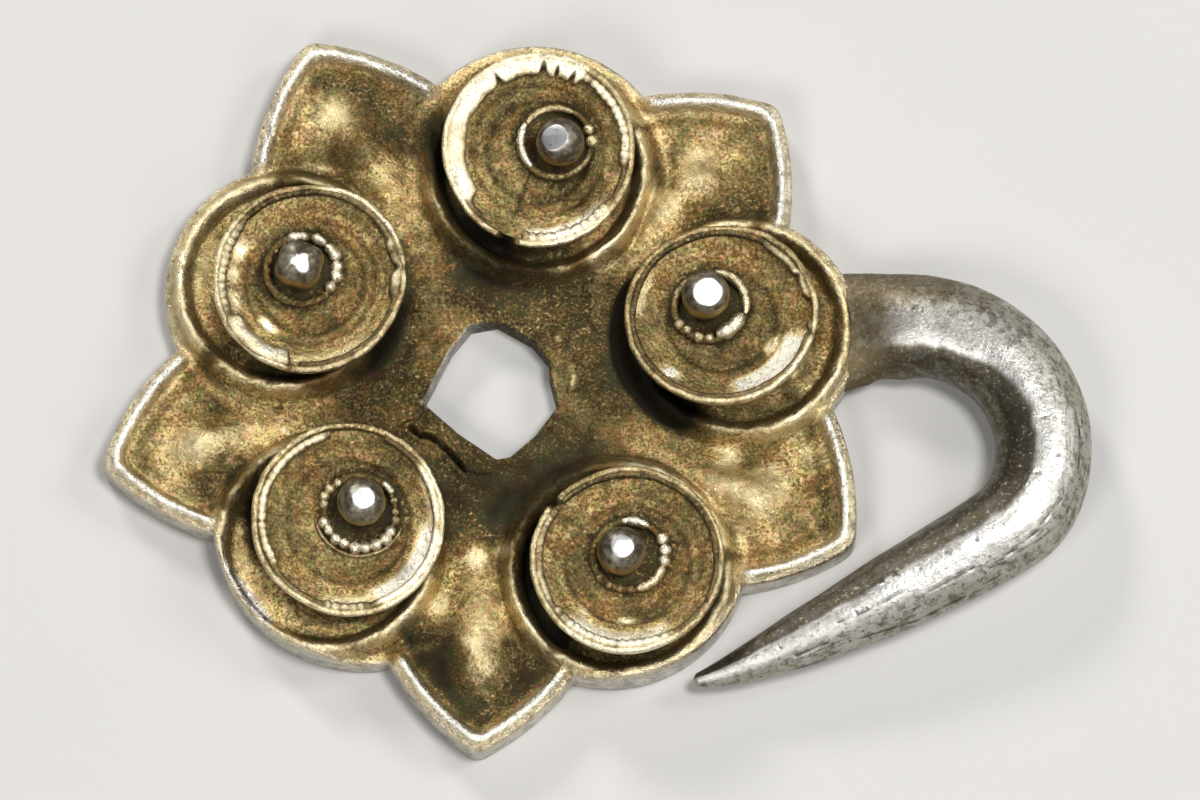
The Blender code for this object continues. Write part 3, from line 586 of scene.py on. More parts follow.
def face_gilding(x, y):
    """Dirt in hollows, painted shade by cups, paler gilding on raised places, painted highlights, bare
    silver.
    """
    near, wide = (hollow(x, y, reach) for reach in HOLLOW_REACHES)
    cloud = layered_noise(x, y, 1.6, 91)
    dirt = 1.5 * np.clip(near, 0, 1) + 1.0 * np.clip(wide, 0, 1) + 0.26 * cloud
    middle = smooth_step((MIDDLE_DIRT_REACH - np.hypot(x, y)) / MIDDLE_DIRT_FADE)
    # Soil towards the middle, and painted shade under and beside the cups
    dirt = dirt + 0.82 * middle + shade_under_cups(x, y)
    wear = 1.7 * np.clip(-near, 0, 1) + 1.0 * np.clip(-wide, 0, 1) - 0.20 * cloud
    bare = smooth_step((0.42 - line_distance(x, y, BARE_PATCH)) / 0.2)
    patchy = 0.65 + 0.35 * noise(x, y, 0.8, 95)
    for leaf in LEAVES:
        offset = leaf_distance(leaf, x, y)
        border = leaf_border(leaf, x, y)
        crest = border * bump((offset + LEAF_BORDER_INSET + 0.03) / LEAF_CREST_HALF_WIDTH)
        wear = np.maximum(wear, 0.80 * border + 0.60 * crest)
        bare = np.maximum(bare, (0.55 * border + 0.25 * crest) * patchy)
        line = hump(offset + LEAF_LINE_INSET, 0.58, LEAF_LINE_HALF_WIDTH)
        within = smooth_step(-(offset + LEAF_SOIL_INSET) / LEAF_SOIL_FADE)
        soiled = leaf.soil * (1 - np.clip(wear, 0, 1)) * within
        dirt = dirt - 0.25 * border + leaf_ends(x, y) * np.maximum(line, soiled)
    rub = 0.12 + 0.25 * noise(x, y, 0.4, 97)
    beyond_hole = smooth_step(np.hypot(x, y) - 6.0)
    # Socket crests rubbed unevenly, with painted highlights on the listed arcs; lobe edges rubbed
    for cup in CUPS:
        crest = bump((away(x, y, cup.socket) - SOCKET_RIM_RADIUS - 0.05) / RIM_CREST_HALF_WIDTH)
        turn = np.arctan2(y - cup.socket[1], x - cup.socket[0])
        arcs = [share * arc_share(turn, start, end, 16) for start, end, share in RIM_HIGHLIGHT_ARCS[cup.name]]
        bright = np.maximum.reduce(arcs)
        wear = np.maximum(wear, crest * (rub + 0.85 * bright))
        edge = bump((away(x, y, cup.lobe) - cup.lobe[2] + LOBE_EDGE_INSET) / LOBE_EDGE_HALF_WIDTH)
        edge = edge * beyond_hole
        wear = np.maximum(wear, edge * (0.35 + 0.35 * noise(x, y, 0.6, 98)))
        dirt = dirt + crest * (0.22 - 0.85 * bright) - 0.3 * edge
    ridge = bump(line_distance(x, y, HOLE_RIDGE) / 0.16) * smooth_step(0.5 + noise(x, y, 0.25, 99))
    wear = np.maximum(wear, 0.6 * ridge)
    dirt = dirt - 0.4 * ridge
    broken = 0.8 + 0.4 * noise(x, y, 0.15, 93)
    for scratch in SCRATCHES:
        wear = np.maximum(wear, broken * bump(line_distance(x, y, scratch) / 0.06))
    for nick in NICKS:
        wear = np.maximum(wear, bump((away(x, y, nick) + 0.08 * noise(x, y, 0.12, 94)) / nick[2]))
    for cut in BORDER_CUTS:
        dirt = dirt + hump(away(x, y, cut), 1.3, cut[2])
    # Painted highlights: pale, clean spots
    for place in HIGHLIGHT_SPOTS:
        spot = bump(away(x, y, place) / place[2])
        wear = np.maximum(wear, 0.8 * spot)
        dirt = dirt - 0.6 * spot
    crack = np.minimum(line_distance(x, y, CRACK), line_distance(x, y, CRACK_TAIL))
    dirt = np.maximum(np.clip(dirt, 0, MOST_WEAR), MOST_WEAR * bump(crack / 0.10))
    return dirt, np.clip(wear, 0, MOST_WEAR), np.clip(bare, 0, 1)


def plate_piece(shift):
    """The face from the hole outwards, the outer wall, the back and the hole's wall, as one closed grid."""
    rays = plate_rays()
    reach, bore = outline_radius(rays), hole_radius(rays)
    inner, outer = bore + HOLE_EDGE_ROUND, reach - EDGE_ROUND
    rows, values = [], []

    def add_row(radii, heights, row_values):
        rows.append(ring_points(radii, rays, heights))
        values.append([np.broadcast_to(value, len(rays)) for value in row_values])

    for share in np.linspace(0, 1, FACE_ROWS) ** FACE_ROW_CROWDING:
        radii = mix(inner, outer, share)
        x, y = radii * np.cos(rays), radii * np.sin(rays)
        add_row(radii, face_height(x, y), face_gilding(x, y))
    hole_z, edge_z = rows[0][:, 2], rows[-1][:, 2]
    edge_gilding = (0.5 * np.clip(values[-1][0], 0, 1), 0.6, 0.35)
    worn_bore = arc_share(rays, *WORN_BORE, 30)
    quarter = np.linspace(0, pi / 2, ROUND_STEPS + 1)
    for turn in quarter[1:]:
        add_row(outer + EDGE_ROUND * sin(turn), edge_z - EDGE_ROUND * (1 - cos(turn)), edge_gilding)
    for share in np.linspace(0, 1, WALL_ROWS + 2)[1:-1]:
        add_row(reach, mix(edge_z - EDGE_ROUND, EDGE_ROUND, share), WALL_GILDING)
    for turn in quarter:
        add_row(reach - EDGE_ROUND * (1 - cos(turn)), EDGE_ROUND * (1 - sin(turn)), LOWER_EDGE_GILDING)
    for share in np.linspace(0, 1, BACK_ROWS + 1)[1:-1]:
        radii = mix(reach - EDGE_ROUND, bore, share)
        uneven = noise(radii * np.cos(rays), radii * np.sin(rays), 0.8, 51)
        add_row(radii, BACK_UNEVENNESS * (1 + uneven), BACK_GILDING)
    # Painted shade: the hole's wall and rounded rim are dark, less so and partly bare on the worn arc
    bore_gilding = (1.05 - 0.35 * worn_bore, 0, 0.5 * worn_bore)
    for share in np.linspace(0, 1, WALL_ROWS + 1):
        add_row(bore, share * (hole_z - HOLE_EDGE_ROUND), bore_gilding)
    rim_gilding = (0.75, 0.2 * worn_bore, 0.55 * worn_bore)
    for turn in quarter[1:-1]:
        fall = HOLE_EDGE_ROUND * (1 - sin(turn))
        add_row(bore + HOLE_EDGE_ROUND * (1 - cos(turn)), hole_z - fall, rim_gilding)
    faces = grid_faces(len(rows), len(rays), close_rows=True)
    worn = dict(zip(GILDING, np.concatenate(values, axis=1)))
    return add_mesh("plate_visual", np.concatenate(rows), faces, shift, worn)


# Cups

# A stretch of a rim wire: where it runs in degrees, its width and height, how it tips outwards in
# degrees, how deep its beads are, and how far it lies from the lip
Stretch = namedtuple("Stretch", "start end width height tip bead gap")
PLAIN_WIRE = Stretch(0, 360, 0.18, 0.19, 0, 0.25, 0.0)
RIM_WIRE_RADIUS = 2.22
RIM_WIRE_HEIGHT = 1.04
WIRE_COLUMNS = 14
WIRE_STEP = 1.25
BEAD_PITCH = 5.5

# A stretch of a collar: where it runs in degrees, how many beads it has (none for a plain strip), its
# radius, its thickness and how high it stands
Arc = namedtuple("Arc", "start end beads radius thickness rise")

COLLAR_BASE = Arc(0, 357, 0, 0.89, 0.22, 0.35)
COLLAR_BASE_SEED = 5
COLLAR_BASE_WORN = (0.68, 0.05, 0.0)
COLLAR_STEP = 3.0
COLLAR_COLUMNS = 12
BEAD_ROWS = 9

PELLET_RADIUS = 0.60
PELLET_STEM_RADIUS = 0.38
PELLET_MIDDLE = 1.244
PELLET_ROWS = 56
PELLET_COLUMNS = 72

# How each cup was made and is worn, and where it is painted lit: how its rim swells to one side
# (degrees and share), the wire's ends and stretches, the rim's arcs, rubbed and with painted highlights,
# its notches (angle, half width and depth), the painted highlights inside it (arc, inner and outer
# radius and share), the side on which the inner slope is painted lit, the collar's arcs, the pellet's
# worn facet (its tilt towards +X and +Y, its depth and its flatness) and its squareness, the radii of
# the floor's grooves, and a number for its noise
Finish = namedtuple("Finish", "swell wire stretches rims notches shines lit arcs facet square grooves seed")
FINISHES = {
    "top": Finish(
        swell=(268, 0.055),
        wire=(259, 231 + 360),
        stretches=(Stretch(58, 218, 0.56, 0.24, 6, 0.0, 0.0), Stretch(-12, 58, 0.28, 0.20, 0, 0.7, 0.05),
                   Stretch(258, 322, 0.32, 0.24, -8, 0.7, 0.0)),
        rims=((54, 226, 1.0), (258, 322, 0.95), (226, 244, 0.6), (-12, 54, 0.9), (-40, -12, 0.5)),
        notches=((251, 7, 0.50), (87, 4, 0.04), (77, 2, 0.05), (65, 3, 0.05), (121, 3, 0.04)),
        shines=((262, 318, 1.85, 2.3, 0.9),),
        lit=-70,
        arcs=(Arc(150, 228, 0, 0.88, 0.22, 1.0), Arc(60, 150, 0, 0.86, 0.20, 0.6),
              Arc(228, 346, 0, 0.88, 0.18, 0.4), Arc(-14, 34, 2, 0.88, 0.26, 0.9)),
        facet=(-0.30, -0.04, 0.10, 0.8), square=0.0, grooves=(1.25, 1.62), seed=1,
    ),
    "left": Finish(
        swell=(265, 0.062),
        wire=(264, 258 + 360),
        stretches=(Stretch(208, 259, 0.48, 0.24, -20, 0.0, 0.0),
                   Stretch(140, 205, 0.28, 0.22, -10, 0.6, 0.0), Stretch(-16, 24, 0.34, 0.26, 10, 0.2, 0.0)),
        rims=((20, 82, 1.0), (-12, 14, 0.7), (208, 259, 1.0), (262, 345, 0.5), (140, 205, 0.75)),
        notches=((5, 5, 0.09), (258, 3, 0.08)),
        shines=((262, 312, 1.8, 2.25, 0.35), (220, 235, 1.35, 1.72, 1.1), (149, 163, 1.7, 2.1, 0.9),
                (170, 180, 1.75, 2.1, 0.8), (190, 203, 1.75, 2.1, 0.7), (214, 258, 1.9, 2.3, 1.0)),
        lit=-80,
        arcs=(Arc(80, 116, 0, 0.84, 0.25, 1.0), Arc(46, 74, 0, 0.86, 0.26, 1.0),
              Arc(-42, 46, 5, 0.88, 0.27, 1.0), Arc(116, 318, 11, 0.86, 0.20, 0.3)),
        facet=(0.10, -0.16, 0.045, 0.7), square=0.07, grooves=(1.30, 1.58, 1.85), seed=2,
    ),
    "lower_left": Finish(
        swell=(275, 0.012),
        wire=(102, 66 + 360),
        stretches=(Stretch(102, 215, 0.25, 0.24, 0, 0.5, 0.05), Stretch(286, 400, 0.22, 0.20, 0, 0.0, 0.0),
                   Stretch(255, 283, 0.28, 0.22, -10, 0.8, 0.0)),
        rims=((103, 215, 0.85), (215, 285, 0.7), (288, 356, 1.1), (-6, 40, 1.0), (40, 66, 0.5)),
        notches=(),
        shines=((288, 356, 1.72, 2.25, 1.0), (255, 285, 1.85, 2.25, 0.7), (-5, 30, 1.95, 2.2, 0.5)),
        lit=-50,
        arcs=(Arc(190, 336, 9, 0.92, 0.28, 1.0), Arc(122, 176, 4, 0.92, 0.23, 0.8),
              Arc(28, 52, 0, 0.92, 0.20, 1.0), Arc(190, 340, 0, 1.11, 0.10, 0.4),
              Arc(52, 122, 4, 0.90, 0.19, 0.3), Arc(-24, 28, 3, 0.90, 0.19, 0.4)),
        facet=(0.10, -0.06, 0.065, 0.75), square=0.0, grooves=(1.50,), seed=3,
    ),
    "lower_right": Finish(
        swell=(270, 0.02),
        wire=(143, 137 + 360),
        stretches=(Stretch(215, 300, 0.28, 0.24, -12, 0.7, 0.0),
                   Stretch(140, 210, 0.24, 0.22, 0, 0.3, 0.0)),
        rims=((146, 223, 0.65), (223, 302, 0.95), (-60, 30, 0.45), (40, 110, 0.35)),
        notches=((141, 4.5, 0.30), (330, 3, 0.06)),
        shines=((226, 300, 1.7, 2.2, 0.8), (262, 275, 1.3, 1.6, 0.9), (225, 232, 1.5, 1.75, 0.9)),
        lit=-95,
        arcs=(Arc(55, 105, 0, 0.86, 0.22, 1.0), Arc(-20, 34, 3, 0.92, 0.30, 1.0),
              Arc(-78, -20, 0, 0.92, 0.26, 0.9), Arc(190, 282, 5, 0.88, 0.20, 0.4),
              Arc(105, 190, 4, 0.86, 0.18, 0.3)),
        facet=(0.06, -0.02, 0.07, 0.6), square=0.0, grooves=(1.50, 1.8), seed=4,
    ),
    "right": Finish(
        swell=(270, 0.012),
        wire=(10, -6 + 360),
        stretches=(Stretch(12, 60, 0.22, 0.20, 0, 0.1, 0.05),),
        rims=((-18, 62, 0.65), (280, 346, 0.95), (225, 280, 0.6), (165, 225, 0.35)),
        notches=((27, 4, 0.10), (347, 4, 0.11)),
        shines=((279, 346, 1.55, 2.25, 1.0), (320, 340, 1.2, 1.6, 0.7), (223, 235, 1.7, 2.15, 1.1),
                (150, 178, 1.9, 2.3, 0.35)),
        lit=-60,
        arcs=(Arc(-15, 82, 0, 0.92, 0.22, 0.9), Arc(-78, -18, 0, 0.82, 0.38, 1.0),
              Arc(200, 280, 4, 0.86, 0.24, 0.7), Arc(80, 200, 0, 0.88, 0.20, 0.4)),
        facet=(0.10, -0.12, 0.12, 0.8), square=0.0, grooves=(1.3,), seed=5,
    ),
}


def cup_frame(cup):
    """The seat's place in the plan, and the turn from upright to the cup's lean."""
    slope_x, slope_y = seat_slope(cup)
    axis = Vector((-slope_x, -slope_y, 1)).normalized()
    seat = np.array([*seat_place(cup), PLATE_THICKNESS + SEAT_RISE]) + SEAT_CLEARANCE * np.array(axis)
    turn = np.array(Vector((0, 0, 1)).rotation_difference(axis).to_matrix())
    return seat, turn


def add_on_cup(cup, kind, points, faces, shift, values):
    """A mesh of the cup, from points round the cup's own upright axis."""
    seat, turn = cup_frame(cup)
    return add_mesh(f"{cup.name}_{kind}_visual", points @ turn.T + seat, faces, shift, values)


def dish_rows():
    """Rows of (radius, height, share of the lip, share of the floor) from the floor's middle outwards."""
    rows = []
    for radius in np.linspace(0.05, DISH_FLAT_RADIUS, DISH_FLOOR_RINGS):
        rows.append((radius, DISH_FLOOR_HEIGHT, 0, 1))
    for share in np.linspace(0, 1, DISH_BOWL_RINGS + 1)[1:]:
        rise = share ** DISH_BOWL_POWER * (DISH_LEDGE_HEIGHT - DISH_FLOOR_HEIGHT)
        radius = mix(DISH_FLAT_RADIUS, DISH_WALL_INSIDE, share)
        rows.append((radius, DISH_FLOOR_HEIGHT + rise, 0, 1 - 0.75 * smooth_step(share * 1.6 - 0.4)))
    middle, half = (DISH_WALL_INSIDE + DISH_RADIUS) / 2, (DISH_RADIUS - DISH_WALL_INSIDE) / 2
    for turn in np.linspace(pi, 0, DISH_LIP_RINGS):
        rows.append((middle + half * cos(turn), DISH_HEIGHT - half + half * sin(turn), 1, 0))
    for share in np.linspace(1, 0, DISH_WALL_RINGS + 1)[1:]:
        radius = mix(DISH_FOOT_RADIUS, DISH_RADIUS, sin(share * pi / 2))
        rows.append((radius, share * (DISH_HEIGHT - half), smooth_step(2 * share - 1), 0))
    for radius in DISH_FOOT_RINGS:
        rows.append((radius, 0.0, 0, 0))
    return np.array(rows)


def swelling(finish, angles):
    """How much farther out than a circle the rim lies."""
    middle, share = finish.swell
    return 1 + share * bump(angle_offset(angles, middle) / 95)


def rim_wear_and_highlight(finish, angles):
    """How bright the lip and its wire are along the rim, from rubbing and from painted highlights."""
    ripple = 0.12 * noise(4 * np.cos(angles), 4 * np.sin(angles), 0.8, 100 * finish.seed + 31)
    arcs = [(share + ripple) * arc_share(angles, start, end, 18) for start, end, share in finish.rims]
    return np.clip(np.maximum.reduce([0.22 + ripple, *arcs]), 0, 1)


def dish_piece(cup, shift):
    """The dish, turned and then worn, with grooves in its floor and notches in its lip."""
    finish = FINISHES[cup.name]
    angles = full_turn(DISH_COLUMNS)
    rows = dish_rows()
    radius, height, lip, floor = (column[:, None] for column in rows.T)
    outwards = smooth_step(radius / DISH_RADIUS)
    x, y = np.cos(angles), np.sin(angles)
    seed = 100 * finish.seed
    wobble = DISH_OUT_OF_ROUND * noise(2 * x + 20, 2 * y, 1.0, seed) * outwards
    radii = radius * (1 + wobble) + LIP_RAGGEDNESS * lip * noise(x * 3, y * 3, 0.35, seed + 1)
    radii = radii * mix(1, swelling(finish, angles), outwards)
    heights = height + LIP_UNEVENNESS * lip * noise(2 * x, 2 * y, 0.7, seed + 2)
    x, y = radii * np.cos(angles), radii * np.sin(angles)
    heights = heights + floor * FLOOR_UNEVENNESS * layered_noise(x, y, 0.7, seed + 3)
    heights = heights + DISH_ROUGHNESS * layered_noise(x + height, y - height, 0.22, seed + 5, 2)
    groove_dirt, notch_dirt = 0, 0
    for groove in finish.grooves:
        heights = heights + floor * hump(radius - groove, *GROOVE_FORM)
        heights = heights + floor * hump(radius - groove - GROOVE_LIP_OFFSET, *GROOVE_LIP_FORM)
        groove_dirt = groove_dirt + floor * hump(radius - groove, 0.22, 0.09)
    for angle, half, depth in finish.notches:
        cut = depth * bump(angle_offset(angles, angle) / half)
        heights = heights - lip * cut
        radii = radii - NOTCH_DRAW * lip * cut
        notch_dirt = notch_dirt + 2.5 * (lip + 0.3 * floor) * cut
    grid = ring_points(radii, angles, heights)
    points, faces = capped_grid(grid, start=(0, 0, DISH_FLOOR_HEIGHT), end=(0, 0, 0))

    x, y = grid[..., 0], grid[..., 1]
    hidden_rows = 1 + DISH_WALL_RINGS + len(DISH_FOOT_RINGS)
    inside = (np.arange(len(rows)) < len(rows) - hidden_rows).astype(float)[:, None]
    # Painted light: the inner slope is less dark on its lit side
    lit = smooth_step((radius - 1.3) / 0.6) * bump(angle_offset(angles, finish.lit) / 120)
    soiled = inside * (0.46 - 0.24 * lit + 0.12 * layered_noise(x, y, 1.1, seed + 7)) + 0.9 * (1 - inside)
    dirt = soiled * (1 - lip) + 0.14 * floor * bump((radius - DISH_FLAT_RADIUS - 0.1) / 0.5)
    dirt = dirt + floor * 0.55 * smooth_step((1.25 - away(x, y, cup.collar)) / 0.35)
    # The lip is pale where it is worn and where highlights are painted, and darker elsewhere
    inner_wires = [arc_share(angles, wire.start, wire.end, 10) for wire in finish.stretches if wire.gap]
    rubbed = rim_wear_and_highlight(finish, angles) * (1 - 0.45 * np.maximum.reduce([0 * angles, *inner_wires]))
    wear = lip * rubbed
    dirt = dirt + 0.42 * lip * (1 - rubbed) + groove_dirt + notch_dirt
    # Painted highlights inside the dish
    for start, end, low, high, share in finish.shines:
        across = smooth_step((radius - low) / 0.15) * smooth_step((high - radius) / 0.15)
        shine = share * across * arc_share(angles, start, end, 14) * inside
        wear = wear + 1.4 * shine
        dirt = dirt - 1.2 * shine
    values = gilding(x.shape, dirt, wear, 0.10 * lip * rubbed)
    return add_on_cup(cup, "dish", points, faces, shift, values)


def wire_piece(cup, shift):
    """The wire inside the rim, whose width, tip and beads change along it."""
    finish = FINISHES[cup.name]
    start, end = finish.wire
    angles = np.radians(np.linspace(start, end, int((end - start) / WIRE_STEP)))[:, None]
    form = np.array([PLAIN_WIRE[2:]])
    shown = 0 * angles
    for stretch in finish.stretches:
        share = arc_share(angles, stretch.start, stretch.end, 7)
        form = mix(form, np.array(stretch[2:]), share)
        shown = np.maximum(shown, share)
    width, height, tip, bead, gap = (column[:, None] for column in form.T)
    tip = np.radians(tip)
    ripples = [noise(angles * pace, 0 * angles + place, 1.0, 100 * finish.seed + number)
               for pace, place, number in ((4, 0, 11), (9, 3, 12), (2.5, 5, 13))]
    beads = np.abs(np.sin(pi * (np.degrees(angles) / BEAD_PITCH + 0.25 * ripples[0]))) ** 0.7
    waist = bead * (1 - beads)
    uneven = 1 + 0.08 * ripples[1]
    half_width = width / 2 * uneven * (1 - 0.25 * waist)
    half_height = height / 2 * uneven * (1 - 0.45 * waist)
    middle = RIM_WIRE_RADIUS - gap - 0.6 * np.clip(half_width - PLAIN_WIRE.width / 2, 0, 1)
    middle = middle * swelling(finish, angles) + 0.02 * ripples[2]
    notches = [bump(angle_offset(angles, angle) / half) for angle, half, _ in finish.notches]
    pits = np.maximum.reduce([0 * angles, *notches])
    middle = middle + 0.35 * half_width * pits
    half_width = half_width * (1 - 0.35 * pits)
    turn = full_turn(WIRE_COLUMNS)
    across, up = half_width * np.cos(turn), half_height * np.sin(turn)
    radii = middle + across * np.cos(tip) + up * np.sin(tip)
    heights = RIM_WIRE_HEIGHT + up * np.cos(tip) - across * np.sin(tip)
    points, faces = capped_grid(ring_points(radii, angles, heights))

    # Paler on top, darker below and at the waists; bright where the rim is worn and highlights are painted
    top = np.clip(np.sin(turn), 0, 1)
    rubbed = rim_wear_and_highlight(finish, angles) * (0.40 + 0.60 * shown)
    dirt = 0.45 * (1 - top) + 0.5 * waist + 0.75 * (1 - rubbed)
    dirt = dirt + 0.8 * pits * smooth_step(0.2 - 1.2 * np.cos(turn))
    values = gilding(radii.shape, dirt, 1.15 * rubbed * (0.35 + 0.65 * top), 0.15 * top * rubbed)
    return add_on_cup(cup, "rim_wire", points, faces, shift, values)


def ball(middle, radii, heading):
    """A small ball with its own radius outwards, along and up."""
    lift = np.linspace(0, pi, BEAD_ROWS + 1)[1:-1, None]
    turn = full_turn(COLLAR_COLUMNS)
    out = radii[0] * np.sin(lift) * np.cos(turn)
    along = radii[1] * np.sin(lift) * np.sin(turn)
    x = middle[0] + out * cos(heading) - along * sin(heading)
    y = middle[1] + out * sin(heading) + along * cos(heading)
    z = middle[2] + radii[2] * np.cos(lift)
    grid = np.stack(np.broadcast_arrays(x, y, z), axis=-1)
    pole = np.array([0, 0, radii[2]])
    return capped_grid(grid, start=middle + pole, end=middle - pole)


def collar_strip(middle, arc, seed):
    """A plain stretch of the collar's wire, thinner at its ends."""
    angles = np.radians(np.arange(arc.start, arc.end + 0.1, COLLAR_STEP))[:, None]
    share = np.linspace(-1, 1, len(angles))[:, None]
    uneven = 1 + 0.12 * noise(angles * 8, 0 * angles, 1.0, seed)
    half = arc.thickness / 2 * (1 - 0.55 * share ** 4) * uneven
    turn = full_turn(COLLAR_COLUMNS)
    tall = half * (0.625 + 0.625 * arc.rise)
    heights = DISH_FLOOR_HEIGHT + 0.16 * arc.rise + tall * np.sin(turn)
    grid = ring_points(arc.radius + half * np.cos(turn), angles, heights)
    return capped_grid(grid + np.array([*middle, 0]))


def collar_piece(cup, shift):
    """The beads and the plain stretches round the pellet, worn almost flat in places."""
    finish = FINISHES[cup.name]
    points, faces, values = [], [], []

    def add_part(part, worn):
        start = sum(len(group) for group in points)
        points.append(part[0])
        faces.extend(tuple(start + corner for corner in face) for face in part[1])
        values.append(np.tile(worn, (len(part[0]), 1)))

    for number, arc in enumerate(finish.arcs):
        worn = (0.65 * (1 - arc.rise), 0.05 + 1.05 * arc.rise ** 2, 0.15 * arc.rise)
        if not arc.beads:
            add_part(collar_strip(cup.collar, arc, 100 * finish.seed + 10 * number), worn)
            continue
        step = (arc.end - arc.start) / arc.beads
        for bead in range(arc.beads):
            wander = lattice(np.int64(bead), np.int64(number), finish.seed)
            heading = radians(arc.start + step * (bead + 0.5) + 2.5 * wander)
            size = arc.thickness / 2 * (1 + 0.15 * wander)
            radius = arc.radius + 0.03 * wander
            place = ring_points(radius, heading, DISH_FLOOR_HEIGHT + 0.15 * arc.rise)
            radii = (1.15 * size, 1.1 * size, (0.6 + 0.7 * arc.rise) * size)
            add_part(ball(place + np.array([*cup.collar, 0]), radii, heading), worn)
    add_part(collar_strip(cup.collar, COLLAR_BASE, COLLAR_BASE_SEED), COLLAR_BASE_WORN)
    worn = dict(zip(GILDING, np.concatenate(values).T))
    return add_on_cup(cup, "collar", np.concatenate(points), faces, shift, worn)


def pellet_piece(cup, shift):
    """A ball on a stem: its top is worn to a bare facet, and its lower edge is still gilt."""
    finish = FINISHES[cup.name]
    lowest = pi - np.arcsin(PELLET_STEM_RADIUS / PELLET_RADIUS)
    lift = np.linspace(0.04, lowest, PELLET_ROWS)[:, None]
    turn = full_turn(PELLET_COLUMNS)
    x, y = np.sin(lift) * np.cos(turn), np.sin(lift) * np.sin(turn)
    radius = PELLET_RADIUS * (1 + finish.square * np.cos(4 * (turn - 0.5)) * np.sin(lift))
    radius = radius * (1 + 0.02 * noise(3 * x, 3 * y + lift, 0.8, 900 + finish.seed))
    ball_points = np.stack([radius * x, radius * y, radius * np.cos(lift)], axis=-1)
    tilt_x, tilt_y, depth, flatness = finish.facet
    normal = np.array(Vector((tilt_x, tilt_y, 1)).normalized()) @ cup_frame(cup)[1]
    over = ball_points @ normal - (PELLET_RADIUS - depth)
    cut = flatness * np.clip(over, 0, None)
    grid = ball_points - cut[..., None] * normal + np.array([0, 0, PELLET_MIDDLE])
    bottom = DISH_FLOOR_HEIGHT - 0.02
    stem = [ring_points(PELLET_STEM_RADIUS * share, turn, level)
            for share, level in ((1.0, DISH_FLOOR_HEIGHT + 0.10), (1.06, bottom))]
    top = grid[0].mean(axis=0)
    grid = np.concatenate([grid, *stem])
    points, faces = capped_grid(grid, start=top, end=(0, 0, bottom), turned=False)
    facet = smooth_step(over / 0.03 + 0.3)
    gilt = smooth_step((lift - 1.10) / 0.35 + 0.20 * np.cos(3 * turn))
    on_stem = np.ones((len(stem), PELLET_COLUMNS))
    values = {
        "facet": with_ends(np.concatenate([facet, 0 * on_stem]), facet[0, 0], 0),
        "gilt": with_ends(np.concatenate([gilt, on_stem]), 0, 1),
    }
    points = points + np.array([*cup.pellet, 0])
    return add_on_cup(cup, "pellet", points, faces, shift, values)


# Hook

def hook_start():
    lobe_x, lobe_y, radius = RIGHT_CUP.lobe
    angle = radians(HOOK_ROOT_ANGLE)
    return np.array([lobe_x + radius * cos(angle), lobe_y + radius * sin(angle)])


def hook_line():
    """Even stations along the middle line: the points, headings and shares of the length, and the length."""
    lengths, turns = np.array(HOOK_RUNS).T
    ends = np.concatenate([[0], np.cumsum(lengths)])
    turns = np.concatenate([[0], np.cumsum(np.radians(turns))])
    fine = np.linspace(0, ends[-1], HOOK_SUBSTEPS * (HOOK_STATIONS - 1) + 1)
    headings = radians(HOOK_HEADING) + np.interp(fine, ends, turns)
    middle = (headings[1:] + headings[:-1]) / 2
    steps = np.diff(fine)[:, None] * np.stack([np.cos(middle), np.sin(middle)], axis=1)
    line = hook_start() + np.concatenate([[[0, 0]], np.cumsum(steps, axis=0)])
    pick = slice(None, None, HOOK_SUBSTEPS)
    return line[pick], headings[pick], (fine / ends[-1])[pick], ends[-1]


def eased(values):
    """Values along the hook with their corners rounded off."""
    kernel = np.ones(2 * HOOK_SECTION_BLUR + 1) / (2 * HOOK_SECTION_BLUR + 1)
    padded = np.pad(values, HOOK_SECTION_BLUR, mode="reflect", reflect_type="odd")
    return np.convolve(padded, kernel, mode="valid")


def hook_rows():
    """The points round each section, and how far along and round the hook they are."""
    line, headings, shares, length = hook_line()
    keys, *rows = np.array(HOOK_SECTIONS).T
    width, height, middle = (eased(np.interp(shares, keys, row))[:, None] for row in rows)
    along, around = np.broadcast_arrays((shares * length)[:, None], full_turn(HOOK_COLUMNS))
    girth = around * width / 2
    dents = HOOK_DENT_SHARE * layered_noise(along, girth, 1.6, 71)
    dents = dents + HOOK_LINE_SHARE * layered_noise(along / 5, girth, 0.20, 75, 2)
    swell = 1 + dents * np.minimum(1, (1 - shares) * 12)[:, None]
    out, up = np.cos(around), np.sin(around)
    across = width / 2 * out * swell - HOOK_ROOT_TUCK * bump(along / 1.3) * np.clip(out, 0, 1)
    rise = height / 2 * up * swell + HOOK_ROOT_LIFT * bump((along - 0.9) / 1.3) * np.clip(up, 0, 1)
    x = line[:, 0, None] + across * np.sin(headings)[:, None]
    y = line[:, 1, None] - across * np.cos(headings)[:, None]
    broken = 0.5 + 0.5 * smooth_step(0.5 + 1.5 * noise(x, y, 0.25, 83))
    pits = [bump(away(x, y, pit) / pit[2]) for pit in HOOK_PITS]
    scratches = [broken * bump(line_distance(x, y, scratch) / size) for scratch, size in HOOK_SCRATCHES]
    marks = np.maximum.reduce(pits + scratches) * (rise > 0)
    z = np.maximum(middle + rise - HOOK_MARK_DEPTH * marks, 0)
    return np.stack([x, y, z], axis=-1), along, around, marks, headings


